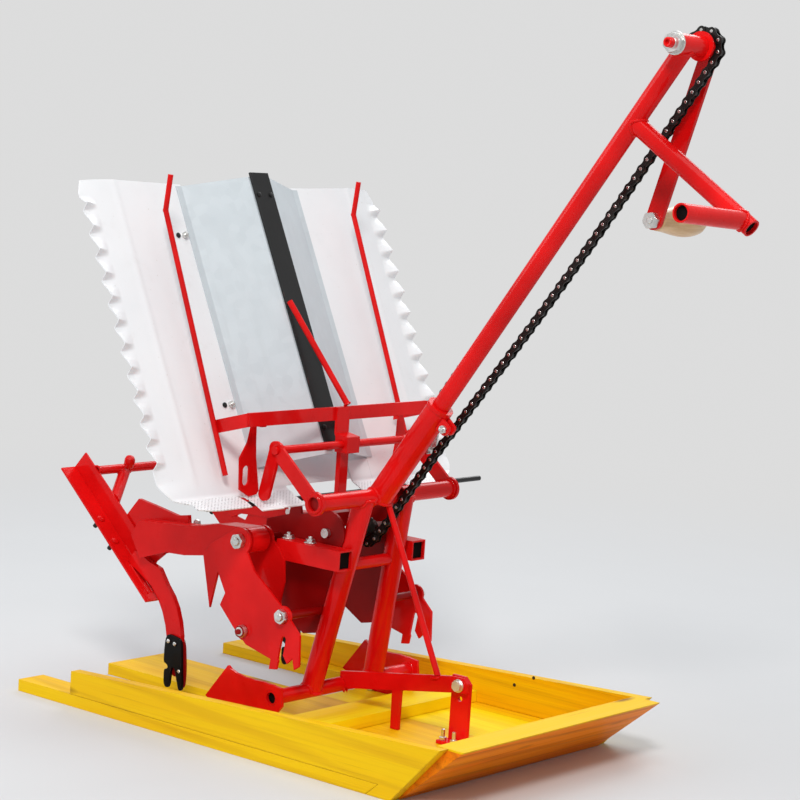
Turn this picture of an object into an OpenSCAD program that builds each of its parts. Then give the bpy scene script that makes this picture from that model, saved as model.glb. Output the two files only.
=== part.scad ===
// Hand-cranked two-row rice transplanter, standing on its wooden float.
// X points from the claws at the back to the operator at the front, Y across the rows, Z up.
// The origin is under the middle sole plank, midway between the two rows.

/* [Float] */
// Overall width of the wooden float
float_w = 500; // [480:5:540]
// Thickness of the sole planks
plank_t = 18; // [15:1:22]
// Width of each outer sole plank
outer_plank_w = 50; // [40:1:56]
// Width of the middle sole plank
middle_plank_w = 125; // [100:1:130]
// How far the sole planks reach back from the origin
plank_back = 445; // [400:5:480]
// How far the closed floor reaches back from the origin
floor_back = 100; // [85:1:110]
// Gap between neighbouring boards
board_gap = 0.4; // [0.2:0.1:0.8]
// Thickness of the side boards
side_t = 18; // [12:1:20]
// Height of the side boards at the bow
side_front_h = 86; // [80:1:95]
// Height of the side boards at their back end
side_back_h = 53; // [45:1:60]
// How far the side boards reach back from the origin
side_back = 330; // [300:5:360]
// Front end of the side boards at the sole
side_foot_x = 297; // [290:1:305]
// Front end of the side boards at their top edge
side_top_x = 376; // [365:1:380]
// Inner foot of the slanted bow board
bow_foot_x = 254; // [246:1:262]
// Horizontal run of the bow board from foot to top
bow_lean = 102; // [90:1:110]
// Horizontal thickness of the bow board
bow_t = 46; // [30:1:50]
// Back edge of the cross batten
batten_x = 2; // [-4:1:6]
// Width of the cross batten
batten_w = 66; // [50:1:75]
// Thickness of the cross batten
batten_t = 18; // [12:1:20]

/* [Frame] */
// Wall thickness of the round tubes
tube_wall = 2.5; // [1.5:0.25:3]
// Gap left at a welded or bolted seat
seat_gap = 0.3; // [0.2:0.05:0.5]
// Diameter of the lower cross tube
low_tube_d = 22; // [18:1:24]
// Place of the lower cross tube along the float
low_tube_x = -10; // [-14:1:-8]
// Height of the lower cross tube
low_tube_z = 64; // [62:1:68]
// Half length of the lower cross tube
low_tube_half = 157; // [154:1:165]
// Diameter of the upper cross tube
high_tube_d = 25; // [20:1:26]
// Place of the upper cross tube along the float
high_tube_x = 48; // [47:1:52]
// Height of the upper cross tube
high_tube_z = 356; // [354:1:360]
// Half length of the upper cross tube
high_tube_half = 157; // [156:1:165]
// Room left in the legs round the drive shaft
drive_clear = 5; // [5:0.5:8]
// Diameter of the frame legs
leg_d = 31; // [26:1:32]
// Distance of each leg from the middle at its top
leg_top_y = 45; // [45:0.5:48]
// Distance of each leg from the middle at its foot
leg_foot_y = 70; // [66:1:76]
// Diameter of the mast tube
mast_d = 26; // [24:1:28]
// Sideways place of the mast at its foot
mast_foot_y = -11; // [-14:1:-6]
// Sideways place of the mast at its head
mast_head_y = 13; // [6:1:16]
// Diameter of the sleeve that holds the mast
sleeve_d = 38; // [37:0.5:39]
// Length of the sleeve along the mast
sleeve_len = 175; // [150:1:190]
// Height of the crank axle
axle_z = 1024; // [1000:1:1060]
// Place of the crank axle along the float
axle_x = 501; // [480:1:520]
// Distance of the handle tube from the foot of the mast
handle_from = 680; // [660:1:700]
// How far the handle tube reaches forward
handle_reach = 200; // [180:1:220]
// How far the handle tube drops towards its end
handle_drop = 127; // [110:1:140]
// Diameter of the handle tube
handle_d = 25; // [22:1:26]
// Diameter of the bar that the left hand holds
hold_bar_d = 25; // [20:1:26]
// Length of the bar that the left hand holds
hold_bar_len = 146; // [120:2:180]
// Thickness of the draw bar and the front post
post_t = 6; // [4:0.5:7]
// Width of the front post
post_w = 33; // [26:1:36]
// Place of the front post along the float
post_x = 212; // [205:1:216]
// Height of the front post above the ground
post_top = 119; // [112:1:124]
// Diameter of the brace rod
brace_d = 9; // [6:0.5:10]

/* [Crank and chain] */
// Distance between neighbouring chain pins
chain_pitch = 15.875; // [15.5:0.005:16]
// Number of links in the chain loop
chain_links = 120; // [118:2:120]
// Teeth on each sprocket
sprocket_teeth = 9; // [9:1:9]
// Overall width of the chain
chain_w = 12; // [11:0.5:13]
// Width between the link plates
chain_inner_w = 7; // [6.5:0.5:8]
// Height of a link plate at its pins
link_h = 12; // [10:0.5:13]
// Height of a link plate between its pins
link_waist = 8.5; // [7:0.5:9]
// Lean of the chain above the floor
chain_angle = 55.34; // [55.3:0.02:55.6]
// Middle of the top sprocket across the rows
chain_top_y = 58.5; // [58:0.5:60]
// Middle of the lower sprocket across the rows
chain_low_y = 22; // [21.5:0.25:22.5]
// How far the slack side of the chain hangs out
chain_sag = 8; // [0:1:10]
// Distance along the chain at which the tensioner holds its slack side
chain_held = 190; // [150:10:220]
// Thickness of the sprocket plates
sprocket_t = 3; // [2:0.25:4]
// Diameter of the crank axle
axle_d = 15; // [12:1:18]
// Running clearance round every turning shaft
shaft_play = 0.15; // [0.1:0.01:0.3]
// Diameter of the tube that carries the crank axle
housing_d = 27; // [24:1:28]
// Near end of the axle tube
housing_near = -15; // [-18:0.5:-14]
// Far end of the axle tube
housing_far = 44; // [40:0.5:44.5]
// Length of the crank arm between its two axes
crank_len = 246; // [200:1:260]
// Slant of the crank arm away from straight down
crank_slant = 16.5; // [0:0.1:30]
// Width of the crank arm
crank_w = 26; // [22:1:30]
// Thickness of the crank arm
crank_t = 6; // [5:0.5:8]
// Diameter of the bolt that carries the grip
grip_bolt_d = 9; // [8:0.5:12]
// Length of the wooden grip
grip_len = 113; // [100:1:125]
// Largest diameter of the wooden grip
grip_d = 44; // [34:1:46]
// Diameter of the lower drive shaft
drive_d = 14; // [12:1:16]

/* [Seedling trays] */
// Thickness of the tray sheet
sheet_t = 1.6; // [1.2:0.1:2]
// Place of the trays' top edge along the float
tray_top_x = -285; // [-290:1:-280]
// Height of the trays' top edge
tray_top_z = 782; // [776:1:788]
// Lean of the trays away from upright
tray_lean = 25.56; // [25:0.02:26]
// Length of a tray from its top edge to its lip
tray_len = 475; // [468:1:480]
// Distance of a tray's outer edge from the middle
tray_out = 324; // [315:1:335]
// Distance of a tray's inner edge from the middle
tray_in = 122; // [115:1:130]
// Width of the bent side flange of a tray
flange_w = 60; // [54:1:66]
// Rise of the side flange at the low edge of its pleats
flange_rise = -8; // [-10:1:-4]
// Number of pleats along a tray's outer edge
pleats = 11; // [9:1:13]
// Width of the pleated edge
pleat_w = 34; // [26:1:38]
// Depth of each pleat
pleat_rise = 20; // [14:1:22]
// Length of the lip at the bottom of a tray
lip_len = 31; // [24:1:33]
// Droop of the lip below level
lip_droop = 25; // [20:1:30]
// Height of the inner wall above the tray
wall_rise = 47; // [40:1:52]
// Distance of the inner wall's top from the middle
wall_top_y = 22; // [21:0.5:26]
// Length of the inner walls along the tray
wall_len = 440; // [424:1:442]
// Width of the inner walls' foot on the tray
wall_foot = 12; // [8:1:46]
// Length of the sill plate under the trays' lower ends
sill_len = 68; // [50:1:80]
// Distance of the sill plate from the lip rail
sill_gap = 24; // [20:1:40]
// Width of the black strip between the inner walls
strip_w = 40; // [34:1:42]
// Thickness of the black strip
strip_t = 3; // [2:0.25:3.5]
// Diameter of the seedling rods
hold_rod_d = 8; // [6:0.5:10]
// Height of the retainer bar
retainer_h = 20; // [18:1:24]
// Half length of the retainer bar
retainer_half = 200; // [190:1:205]
// Thickness of the retainer bar
retainer_t = 4; // [3:0.25:4.5]
// Diameter of the rail that guides the trays
guide_d = 12; // [10:0.5:13]
// Diameter of the rail under the lips
lip_rail_d = 8; // [6:0.5:9]
// How far the lip rail reaches to the far side
lip_rail_far = 372; // [340:1:400]
// How far the lip rail reaches to the near side
lip_rail_near = 256; // [200:1:320]

/* [Planting gear] */
// Distance of each row from the middle
row_y = 125; // [123:0.5:127]
// Place of the arm pivot along the float
pivot_x = -93; // [-96:1:-90]
// Height of the arm pivot
pivot_z = 280; // [276:1:282]
// Diameter of the arm pivot pin
pivot_d = 12; // [10:0.5:14]
// Thickness of the plates that carry the arms
arm_plate_t = 4; // [3:0.25:5]
// Width of the arm link
link_w = 34; // [28:1:34]
// Thickness of the angle and link sheet
arm_t = 3; // [2:0.25:3.5]
// Width of the arm angle's face
angle_face = 31; // [28:1:34]
// Depth of the arm angle's flange
angle_depth = 36; // [30:1:40]
// Diameter of the tube that joins the two arms
arm_tube_d = 14; // [12:1:18]
// Thickness of the claw shanks
shank_t = 8; // [6:0.5:10]
// Thickness of the claws
claw_t = 5; // [3:0.5:6]
// Side of the square support bars
bar_side = 30; // [26:1:30]
// Thickness of the big side plates
side_plate_t = 4; // [3:0.25:4.5]
// Gap between the middle and each big side plate
side_plate_y = 63.7; // [63:0.1:64.5]

/* [Hidden] */
$fn = 48;
eps = 0.01;
half_w = float_w / 2;
inner_w = half_w - side_t;
tray_tilt = 90 - tray_lean;
pitch_r = chain_pitch / (2 * sin(180 / sprocket_teeth));
chain_span = (chain_links - sprocket_teeth) * chain_pitch / 2;
low_sprocket_x = axle_x - chain_span * cos(chain_angle);
low_sprocket_z = axle_z - chain_span * sin(chain_angle);
chain_skew = asin((chain_top_y - chain_low_y) / chain_span);
mast_foot = [high_tube_x, mast_foot_y, high_tube_z];
mast_head = [axle_x, mast_head_y, axle_z];
mast_dir = (mast_head - mast_foot) / norm(mast_head - mast_foot);
handle_start = mast_foot + mast_dir * handle_from;
handle_end = handle_start + [handle_reach, -mast_head_y + 4, -handle_drop];
hold_bar_at = handle_start + (handle_end - handle_start) * 0.93;
hold_bar_end = hold_bar_at + [-2, -hold_bar_len, 8];
leg_dir_y = leg_foot_y - leg_top_y;
crank_y = chain_top_y + chain_w / 2 + 5.5;
grip_x = axle_x - crank_len * sin(crank_slant);
grip_z = axle_z - crank_len * cos(crank_slant);
grip_y = crank_y + crank_t + 1.5;
bar_in = side_plate_y + side_plate_t + seat_gap;
bar_out = bar_in + bar_side;
inner_plate_y = bar_out + seat_gap;
outer_plate_y = 2 * row_y - inner_plate_y - arm_plate_t;
guide_x = -30;
guide_z = 422;
bracket_y = high_tube_half - 7;
bracket_t = 5;
retainer_x = -47;
retainer_z = 456;
rod_y = retainer_half + retainer_t + 0.5 + hold_rod_d / 2;
lip_rail_x = -64;
lip_rail_z = 340;
arm_top = [-491, 0, 329];
arm_foot = [-289, 0, 153];
arm_slant = atan2(arm_top[2] - arm_foot[2], arm_foot[0] - arm_top[0]);
arm_len = norm(arm_top - arm_foot);

// A rod from one point to another
module rod(from, to, d) {
    run = to - from;
    length = norm(run);
    translate(from)
        rotate([0, acos(run[2] / length), atan2(run[1], run[0])])
            cylinder(d = d, h = length);
}

// A tube from one point to another, open at both ends
module pipe(from, to, d, wall = tube_wall) {
    reach = (to - from) / norm(to - from);
    difference() {
        rod(from, to, d);
        rod(from - reach, to + reach, d - 2 * wall);
    }
}

// A rod across the rows
module cross_rod(x, z, near, far, d) {
    translate([x, far, z])
        rotate([90, 0, 0])
            cylinder(d = d, h = far - near);
}

// A flat outline in the XZ plane, given thickness across the rows
module slab(near, far) {
    translate([0, far, 0])
        rotate([90, 0, 0])
            linear_extrude(far - near)
                children();
}

// A flat strap with round ends in the XZ plane
module strap(a, b, w) {
    run = b - a;
    translate(a) circle(d = w);
    translate(b) circle(d = w);
    translate(a)
        rotate(atan2(run[1], run[0]))
            translate([0, -w / 2 + 0.02]) square([norm(run), w - 0.04]);
}

module both_sides() {
    children();
    mirror([0, 1, 0]) children();
}

// Places a child in the trays' own plane: x runs down the slope, z stands out of it
module on_trays() {
    translate([tray_top_x, 0, tray_top_z])
        rotate([0, tray_tilt, 0])
            children();
}

// A point of the trays' plane, in the part's frame
function tray_point(s, y, h) = [
    tray_top_x + s * cos(tray_tilt) + h * sin(tray_tilt),
    y,
    tray_top_z - s * sin(tray_tilt) + h * cos(tray_tilt)
];

// Front end of a board of the sole, cut along the back of the bow board
function bow_back(z) = bow_foot_x + bow_lean * z / side_front_h - board_gap;

module sole_outline(back) {
    polygon([[-back, 0], [bow_back(0), 0], [bow_back(plank_t), plank_t], [-back, plank_t]]);
}

module sole_planks() {
    color("gold") {
        both_sides() slab(half_w - outer_plank_w, half_w) sole_outline(plank_back);
        slab(-middle_plank_w / 2, middle_plank_w / 2) sole_outline(plank_back);
    }
}

module floor_boards() {
    color("gold")
        both_sides()
            slab(middle_plank_w / 2 + board_gap, half_w - outer_plank_w - board_gap)
                sole_outline(floor_back);
}

module side_boards() {
    color("goldenrod")
        both_sides()
            slab(inner_w, half_w)
                polygon([
                    [-side_back, plank_t + board_gap],
                    [-side_back, side_back_h],
                    [side_top_x, side_front_h],
                    [side_foot_x, 0],
                    [bow_back(0) + 2 * board_gap, 0],
                    [bow_back(plank_t) + 2 * board_gap, plank_t + board_gap]
                ]);
}

module bow_board() {
    color("peru")
        slab(-inner_w + board_gap, inner_w - board_gap)
            polygon([
                [bow_foot_x, 0],
                [bow_foot_x + bow_t, 0],
                [bow_foot_x + bow_lean + bow_t, side_front_h],
                [bow_foot_x + bow_lean, side_front_h]
            ]);
}

module cross_batten() {
    color("gold")
        translate([batten_x, -inner_w + board_gap, plank_t + board_gap])
            cube([batten_w, 2 * (inner_w - board_gap), batten_t]);
}

module lower_cross_tube() {
    color("red")
        pipe([low_tube_x, -low_tube_half, low_tube_z], [low_tube_x, low_tube_half, low_tube_z], low_tube_d);
}

// Hooked plates that stand on the floor and hold the ends of the lower cross tube
module foot_plates() {
    floor_top = plank_t + board_gap;
    color("red")
        both_sides()
            difference() {
                slab(low_tube_half - 5, low_tube_half) {
                    polygon([
                        [low_tube_x - 130, low_tube_z - 22],
                        [low_tube_x - 88, low_tube_z + 31],
                        [low_tube_x - 82, low_tube_z + 27],
                        [low_tube_x - 70, low_tube_z + 23],
                        [low_tube_x - 54, low_tube_z + 20.5],
                        [low_tube_x - 36, low_tube_z + 20],
                        [low_tube_x - 19, low_tube_z + 21],
                        [low_tube_x + 18, low_tube_z + 18],
                        [low_tube_x + 22, low_tube_z - 8],
                        [low_tube_x + 4, low_tube_z - 30],
                        [low_tube_x + 4, floor_top],
                        [low_tube_x - 80, floor_top],
                        [low_tube_x - 100, low_tube_z - 35]
                    ]);
                    translate([low_tube_x, low_tube_z]) circle(d = low_tube_d + 18);
                }
                cross_rod(low_tube_x, low_tube_z, 0, low_tube_half + 1, low_tube_d + 2 * seat_gap);
            }
}

module leg_axis(d) {
    rod([high_tube_x, leg_top_y, high_tube_z], [low_tube_x, leg_foot_y, low_tube_z], d);
}

module frame_legs() {
    color("red")
        both_sides()
            difference() {
                leg_axis(leg_d);
                leg_axis(leg_d - 2 * tube_wall);
                cross_rod(low_tube_x, low_tube_z, 0, low_tube_half, low_tube_d + 2 * seat_gap);
                cross_rod(high_tube_x, high_tube_z, 0, high_tube_half, high_tube_d + 2 * seat_gap);
                cross_rod(
                    low_sprocket_x, low_sprocket_z, 0, low_tube_half, drive_d + 2 * drive_clear
                );
            }
}

// The upper cross tube is cut where the chain runs down beside the mast
module upper_cross_tube() {
    slot_y = chain_low_y + 2;
    color("red") {
        pipe(
            [high_tube_x, -high_tube_half, high_tube_z],
            [high_tube_x, slot_y - chain_w / 2 - 4, high_tube_z],
            high_tube_d
        );
        pipe(
            [high_tube_x, slot_y + chain_w / 2 + 4, high_tube_z],
            [high_tube_x, high_tube_half, high_tube_z],
            high_tube_d
        );
    }
}

tie_share = 0.346;
tie_x = high_tube_x + (low_tube_x - high_tube_x) * tie_share;
tie_z = high_tube_z + (low_tube_z - high_tube_z) * tie_share;

module leg_tie_tube() {
    tie_y = leg_top_y + leg_dir_y * tie_share;
    color("red")
        difference() {
            cross_rod(tie_x, tie_z, -tie_y, tie_y, 18);
            cross_rod(tie_x, tie_z, -tie_y - 1, tie_y + 1, 18 - 2 * tube_wall);
            both_sides() leg_axis(leg_d + 2 * seat_gap);
        }
}

module mast_sleeve() {
    color("red")
        difference() {
            union() {
                rod(mast_foot, mast_foot + mast_dir * sleeve_len, sleeve_d);
                rod(mast_foot + mast_dir * (sleeve_len - 6), mast_foot + mast_dir * sleeve_len, sleeve_d + 2);
            }
            rod(mast_foot - mast_dir, mast_foot + mast_dir * (sleeve_len + 1), mast_d + 2 * seat_gap);
            cross_rod(high_tube_x, high_tube_z, -60, 60, high_tube_d + 2 * seat_gap);
            both_sides() leg_axis(leg_d + 2 * seat_gap);
        }
}

module mast_tube() {
    color("red")
        difference() {
            pipe(mast_foot + mast_dir * 40, mast_head, mast_d);
            cross_rod(axle_x, axle_z, -60, 60, housing_d + 2 * seat_gap);
        }
}

module axle_tube() {
    color("red")
        difference() {
            cross_rod(axle_x, axle_z, housing_near, housing_far, housing_d);
            cross_rod(axle_x, axle_z, housing_near - 1, housing_far + 1, axle_d + 2 * shaft_play);
        }
}

module handle_tube() {
    color("red")
        difference() {
            pipe(handle_start, handle_end, handle_d);
            rod(mast_foot, mast_head, mast_d + 2 * seat_gap);
        }
}

module hold_bar() {
    color("red")
        difference() {
            pipe(hold_bar_end, hold_bar_at, hold_bar_d);
            rod(handle_start, handle_end, handle_d + 2 * seat_gap);
        }
}

// The draw bar is on edge and bolted to the front post
module draw_bar() {
    color("red")
        difference() {
            slab(-post_t, 0)
                polygon([
                    [low_tube_x, low_tube_z - 6],
                    [low_tube_x + 101, low_tube_z + 11],
                    [low_tube_x + 102, plank_t + board_gap],
                    [low_tube_x + 116, plank_t + board_gap],
                    [low_tube_x + 117, low_tube_z + 14],
                    [post_x - 4, post_top - 24],
                    [post_x + 16, post_top - 22],
                    [post_x + 16, post_top - 8],
                    [post_x + 8, post_top - 1],
                    [post_x - 10, post_top - 1],
                    [low_tube_x, low_tube_z + 20]
                ]);
            cross_rod(low_tube_x, low_tube_z, -60, 60, low_tube_d + 2 * seat_gap);
            cross_rod(post_x, post_top - 13, -60, 60, 9);
        }
}

module front_post() {
    floor_top = plank_t + board_gap;
    color("red")
        difference() {
            union() {
                slab(seat_gap, post_t)
                    polygon([
                        [post_x - post_w / 2, floor_top],
                        [post_x - post_w / 2, post_top],
                        [post_x + post_w / 2 - 10, post_top],
                        [post_x + post_w / 2, post_top - 10],
                        [post_x + post_w / 2, floor_top]
                    ]);
                translate([post_x - post_w / 2 - 9, -16, floor_top]) cube([post_w + 9, 16 + post_t, 5]);
            }
            cross_rod(post_x, post_top - 13, -60, 60, 9);
            cross_rod(post_x, post_top - 33, -60, 60, 8);
        }
}

module brace_rod() {
    brace_y = -post_t / 2;
    color("red")
        difference() {
            rod([high_tube_x + 8, brace_y, high_tube_z - 5], [post_x - 38, brace_y, post_top - 12], brace_d);
            cross_rod(high_tube_x, high_tube_z, -60, 60, high_tube_d + 2 * seat_gap);
            rod(mast_foot, mast_head, sleeve_d + 2 * seat_gap);
            slab(-post_t - 6, 6)
                polygon([
                    [low_tube_x, low_tube_z - 30],
                    [low_tube_x, low_tube_z + 20 + seat_gap],
                    [post_x - 10, post_top - 1 + seat_gap],
                    [post_x - 10, low_tube_z - 30]
                ]);
        }
}

// Bent brackets over the ends of the upper cross tube, which carry the guide rail
module tray_brackets() {
    apex = [guide_x - 3, guide_z + 2];
    color("red")
        both_sides()
            difference() {
                slab(bracket_y, bracket_y + bracket_t) {
                    translate([guide_x, guide_z]) circle(d = guide_d + 12);
                    strap(apex, [high_tube_x, high_tube_z], 22);
                    strap(apex, [guide_x - 20, guide_z - 66], 20);
                    translate([high_tube_x, high_tube_z]) circle(d = high_tube_d + 10);
                }
                cross_rod(high_tube_x, high_tube_z, 0, 200, high_tube_d + 2 * seat_gap);
                cross_rod(guide_x, guide_z, 0, 200, guide_d + 2 * seat_gap);
            }
}

module guide_rail() {
    color("red") cross_rod(guide_x, guide_z, -bracket_y - bracket_t - 4, bracket_y + bracket_t + 4, guide_d);
}

module lip_rail() {
    color([0.08, 0.08, 0.08]) cross_rod(lip_rail_x, lip_rail_z, -lip_rail_near, lip_rail_far, lip_rail_d);
}

// Big side plates with a round shoulder at the drive shaft and a lug for the lip rail
module side_plates() {
    color("darkred")
        both_sides()
            difference() {
                slab(side_plate_y, side_plate_y + side_plate_t) {
                    polygon([
                        [pivot_x - 27, low_sprocket_z + 3],
                        [lip_rail_x - 12, lip_rail_z - 24],
                        [lip_rail_x - 8, lip_rail_z - 2],
                        [lip_rail_x + 8, lip_rail_z - 2],
                        [lip_rail_x + 12, lip_rail_z - 20],
                        [low_sprocket_x, low_sprocket_z + 32],
                        [tie_x, tie_z],
                        [tie_x - 2, tie_z - 98],
                        [tie_x - 62, tie_z - 111],
                        [tie_x - 106, tie_z - 86],
                        [pivot_x, pivot_z - 20],
                        [pivot_x - 27, pivot_z - 18]
                    ]);
                    translate([low_sprocket_x, low_sprocket_z]) circle(r = 33);
                }
                cross_rod(lip_rail_x, lip_rail_z, -400, 400, lip_rail_d + 2 * seat_gap);
                cross_rod(low_sprocket_x, low_sprocket_z, -400, 400, drive_d + 2 * shaft_play);
                cross_rod(-1, 185, -400, 400, pivot_d + 2 * seat_gap);
                cross_rod(pivot_x, pivot_z, -400, 400, pivot_d + 2 * seat_gap);
                leg_axis(leg_d + 2 * seat_gap);
                slab(side_plate_y - 1, side_plate_y + side_plate_t + 1)
                    polygon([
                        [high_tube_x, high_tube_z],
                        [low_tube_x, low_tube_z],
                        [high_tube_x + 20, low_tube_z]
                    ]);
            }
}

// Square bars with open front ends, fixed to the big side plates
module support_bars() {
    color("red")
        both_sides()
            difference() {
                translate([-70, bar_in, pivot_z - 12 - bar_side / 2]) cube([122, bar_side, bar_side]);
                translate([-71, bar_in + tube_wall, pivot_z - 12 - bar_side / 2 + tube_wall])
                    cube([124, bar_side - 2 * tube_wall, bar_side - 2 * tube_wall]);
                leg_axis(leg_d + 2 * seat_gap);
            }
}

module inner_arm_plates() {
    color("red")
        both_sides()
            difference() {
                slab(inner_plate_y, inner_plate_y + arm_plate_t) {
                    translate([pivot_x, pivot_z]) circle(d = 38);
                    polygon([
                        [pivot_x - 19, pivot_z],
                        [pivot_x + 19, pivot_z],
                        [-62, 270],
                        [-50, 254],
                        [-47, 222],
                        [-55, 183],
                        [-66, 160],
                        [-88, 160],
                        [-112, 200],
                        [-124, 240]
                    ]);
                    translate([-76, 157]) circle(d = 26);
                }
                cross_rod(pivot_x, pivot_z, 0, 200, pivot_d + 2 * seat_gap);
                cross_rod(-76, 150, 0, 200, 8 + 2 * seat_gap);
            }
}

// Ornate outer plates: a pointed tail, a scalloped back edge and a hooked foot
module outer_arm_plates() {
    color("red")
        both_sides()
            difference() {
                slab(outer_plate_y, outer_plate_y + arm_plate_t)
                    difference() {
                        union() {
                            translate([pivot_x, pivot_z]) circle(d = 40);
                            translate([-1, 185]) circle(d = 30);
                            translate([-76, 150]) circle(d = 28);
                            polygon([
                                [pivot_x + 14, pivot_z - 14],
                                [-62, 240],
                                [-2, 196],
                                [33, 163],
                                [35, 118],
                                [26, 112],
                                [22, 128],
                                [12, 118],
                                [-2, 136],
                                [-8, 106],
                                [-22, 104],
                                [-20, 119],
                                [-70, 131],
                                [-97, 152],
                                [-126, 180],
                                [-117, 199],
                                [-134, 228],
                                [-147, 172],
                                [-166, 250],
                                [-150, 268],
                                [pivot_x - 14, pivot_z + 14]
                            ]);
                        }
                        translate([-134, 193]) circle(d = 16);
                        strap([3, 152], [-2, 122], 9);
                    }
                cross_rod(pivot_x, pivot_z, 0, 200, pivot_d + 2 * seat_gap);
                cross_rod(-1, 185, 0, 200, pivot_d + 2 * seat_gap);
                cross_rod(-76, 150, 0, 200, 8 + 2 * seat_gap);
            }
}

// Pins that hold each outer plate to the pieces behind it, with nuts outside
module plate_pins() {
    nut_y = outer_plate_y + arm_plate_t + seat_gap;
    color("silver")
        both_sides() {
            cross_rod(pivot_x, pivot_z, side_plate_y - 6, nut_y + 9, pivot_d);
            translate([pivot_x, nut_y + 8, pivot_z]) rotate([90, 0, 0]) cylinder(d = 21, h = 8, $fn = 6);
            difference() {
                cross_rod(-1, 185, side_plate_y - 6, nut_y + 9, pivot_d);
                leg_axis(leg_d + 2 * seat_gap);
            }
            translate([-1, nut_y + 7, 185]) rotate([90, 0, 0]) cylinder(d = 20, h = 7, $fn = 6);
            cross_rod(-76, 150, inner_plate_y - 5, nut_y + 12, 8);
            cross_rod(-76, 150, nut_y, nut_y + 9, 17);
        }
}

// Closed case between the big side plates, which holds the sideways feed
module feed_case() {
    color("darkred")
        slab(-side_plate_y + seat_gap, side_plate_y - seat_gap)
            difference() {
                polygon([
                    [pivot_x - 24, pivot_z - 16],
                    [pivot_x - 24, pivot_z + 18],
                    [lip_rail_x - 14, pivot_z + 34],
                    [-38, pivot_z + 38],
                    [-38, pivot_z - 16]
                ]);
                translate([pivot_x, pivot_z]) circle(d = pivot_d + 2 * seat_gap);
            }
}

// How far the slack side hangs away from a straight line, a distance s up the chain
function slack(s) = s < chain_held ? 0 : chain_sag * sin(180 * (s - chain_held) / (chain_span - chain_held));

// Place of each chain pin round the loop, from the lower sprocket up the slack side
function chain_pin(i) =
    let (
        straight = (chain_links - sprocket_teeth) / 2,
        turn = sprocket_teeth / 2,
        step = 360 / sprocket_teeth
    )
    i < straight ? [i * chain_pitch, -pitch_r - slack(i * chain_pitch)]
    : i < straight + turn
        ? [chain_span + pitch_r * sin((i - straight) * step), -pitch_r * cos((i - straight) * step)]
    : i < 2 * straight + turn ? [chain_span - (i - straight - turn) * chain_pitch, pitch_r]
    : [-pitch_r * sin((i - 2 * straight - turn) * step), pitch_r * cos((i - 2 * straight - turn) * step)];

function chain_centre(p) = [min(max(p[0], 0), chain_span), 0];

function chain_out(p, d) = p + d * (p - chain_centre(p)) / norm(p - chain_centre(p));

module chain_band(at_pin, at_waist) {
    difference() {
        polygon([for (i = [0 : 0.5 : chain_links - 0.5])
            chain_out(chain_pin(i), i == floor(i) ? at_pin : at_waist)]);
        polygon([for (i = [0 : 0.5 : chain_links - 0.5])
            chain_out(chain_pin(i), i == floor(i) ? -at_pin : -at_waist)]);
    }
}

// Places a child in the plane of the chain, x running up from the lower sprocket
module on_chain() {
    translate([low_sprocket_x, chain_low_y, low_sprocket_z])
        rotate([0, -chain_angle, 0])
            rotate([0, 0, chain_skew])
                rotate([90, 0, 0])
                    children();
}

module drive_chain() {
    plate_t = (chain_w - chain_inner_w) / 2;
    color([0.1, 0.1, 0.1])
        on_chain() {
            translate([0, 0, chain_inner_w / 2])
                linear_extrude(plate_t) chain_band(link_h / 2, link_waist / 2);
            translate([0, 0, -chain_inner_w / 2 - plate_t])
                linear_extrude(plate_t) chain_band(link_h / 2, link_waist / 2);
            translate([0, 0, -chain_inner_w / 2])
                linear_extrude(chain_inner_w) chain_band(3, 3);
        }
}

// A zinc lever beside the sleeve, with a small roller on the chain
module chain_tensioner() {
    near = chain_low_y + chain_w / 2 + 9.5;
    color("silver")
        difference() {
            union() {
                slab(near, near + 3) {
                    strap([119, 476], [74, 425], 14);
                    strap([104, 459], [101, 428], 12);
                }
                cross_rod(119, 476, 5, near + 7, 8);
                cross_rod(101, 428, chain_low_y + 1, near + 6, 9);
            }
            rod(mast_foot, mast_foot + mast_dir * sleeve_len, sleeve_d + 2 * seat_gap);
        }
}

module crank_axle() {
    color("silver") {
        cross_rod(axle_x, axle_z, housing_near - 12, crank_y + crank_t + 1, axle_d);
        translate([axle_x, housing_near - 0.5, axle_z])
            rotate([90, 0, 0])
                cylinder(d = 24, h = 9, $fn = 6);
    }
}

// Sprocket outline with short teeth, which stay inside the rollers
module sprocket_outline() {
    root_r = pitch_r - 7;
    circle(r = root_r);
    for (i = [0 : sprocket_teeth - 1])
        rotate((i + 0.5) * 360 / sprocket_teeth)
            polygon([[root_r - 3, -4], [pitch_r - 4.6, -1.5], [pitch_r - 4.6, 1.5], [root_r - 3, 4]]);
}

module top_sprocket() {
    color("dimgray")
        difference() {
            union() {
                translate([axle_x, chain_top_y + sprocket_t / 2, axle_z])
                    rotate([90, 0, 0])
                        linear_extrude(sprocket_t)
                            sprocket_outline();
                cross_rod(axle_x, axle_z, housing_far + 0.5, chain_top_y + chain_w / 2 + 3, 26);
                cross_rod(axle_x, axle_z, housing_far + 0.5, housing_far + 3.5, 40);
            }
            cross_rod(axle_x, axle_z, 0, crank_y, axle_d + 2 * seat_gap);
        }
}

module crank_arm() {
    color("red")
        difference() {
            slab(crank_y, crank_y + crank_t)
                strap([axle_x, axle_z], [grip_x, grip_z], crank_w);
            cross_rod(axle_x, axle_z, 0, 200, axle_d + 2 * seat_gap);
            cross_rod(grip_x, grip_z, 0, 200, grip_bolt_d + 2 * seat_gap);
        }
}

module grip_bolt() {
    color("silver") {
        cross_rod(grip_x, grip_z, crank_y - 10, grip_y + grip_len + 1, grip_bolt_d);
        translate([grip_x, crank_y - seat_gap, grip_z])
            rotate([90, 0, 0])
                cylinder(d = 23, h = 8.2, $fn = 6);
        cross_rod(grip_x, grip_z, grip_y + grip_len + 0.5, grip_y + grip_len + 3.5, 15);
    }
}

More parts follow.
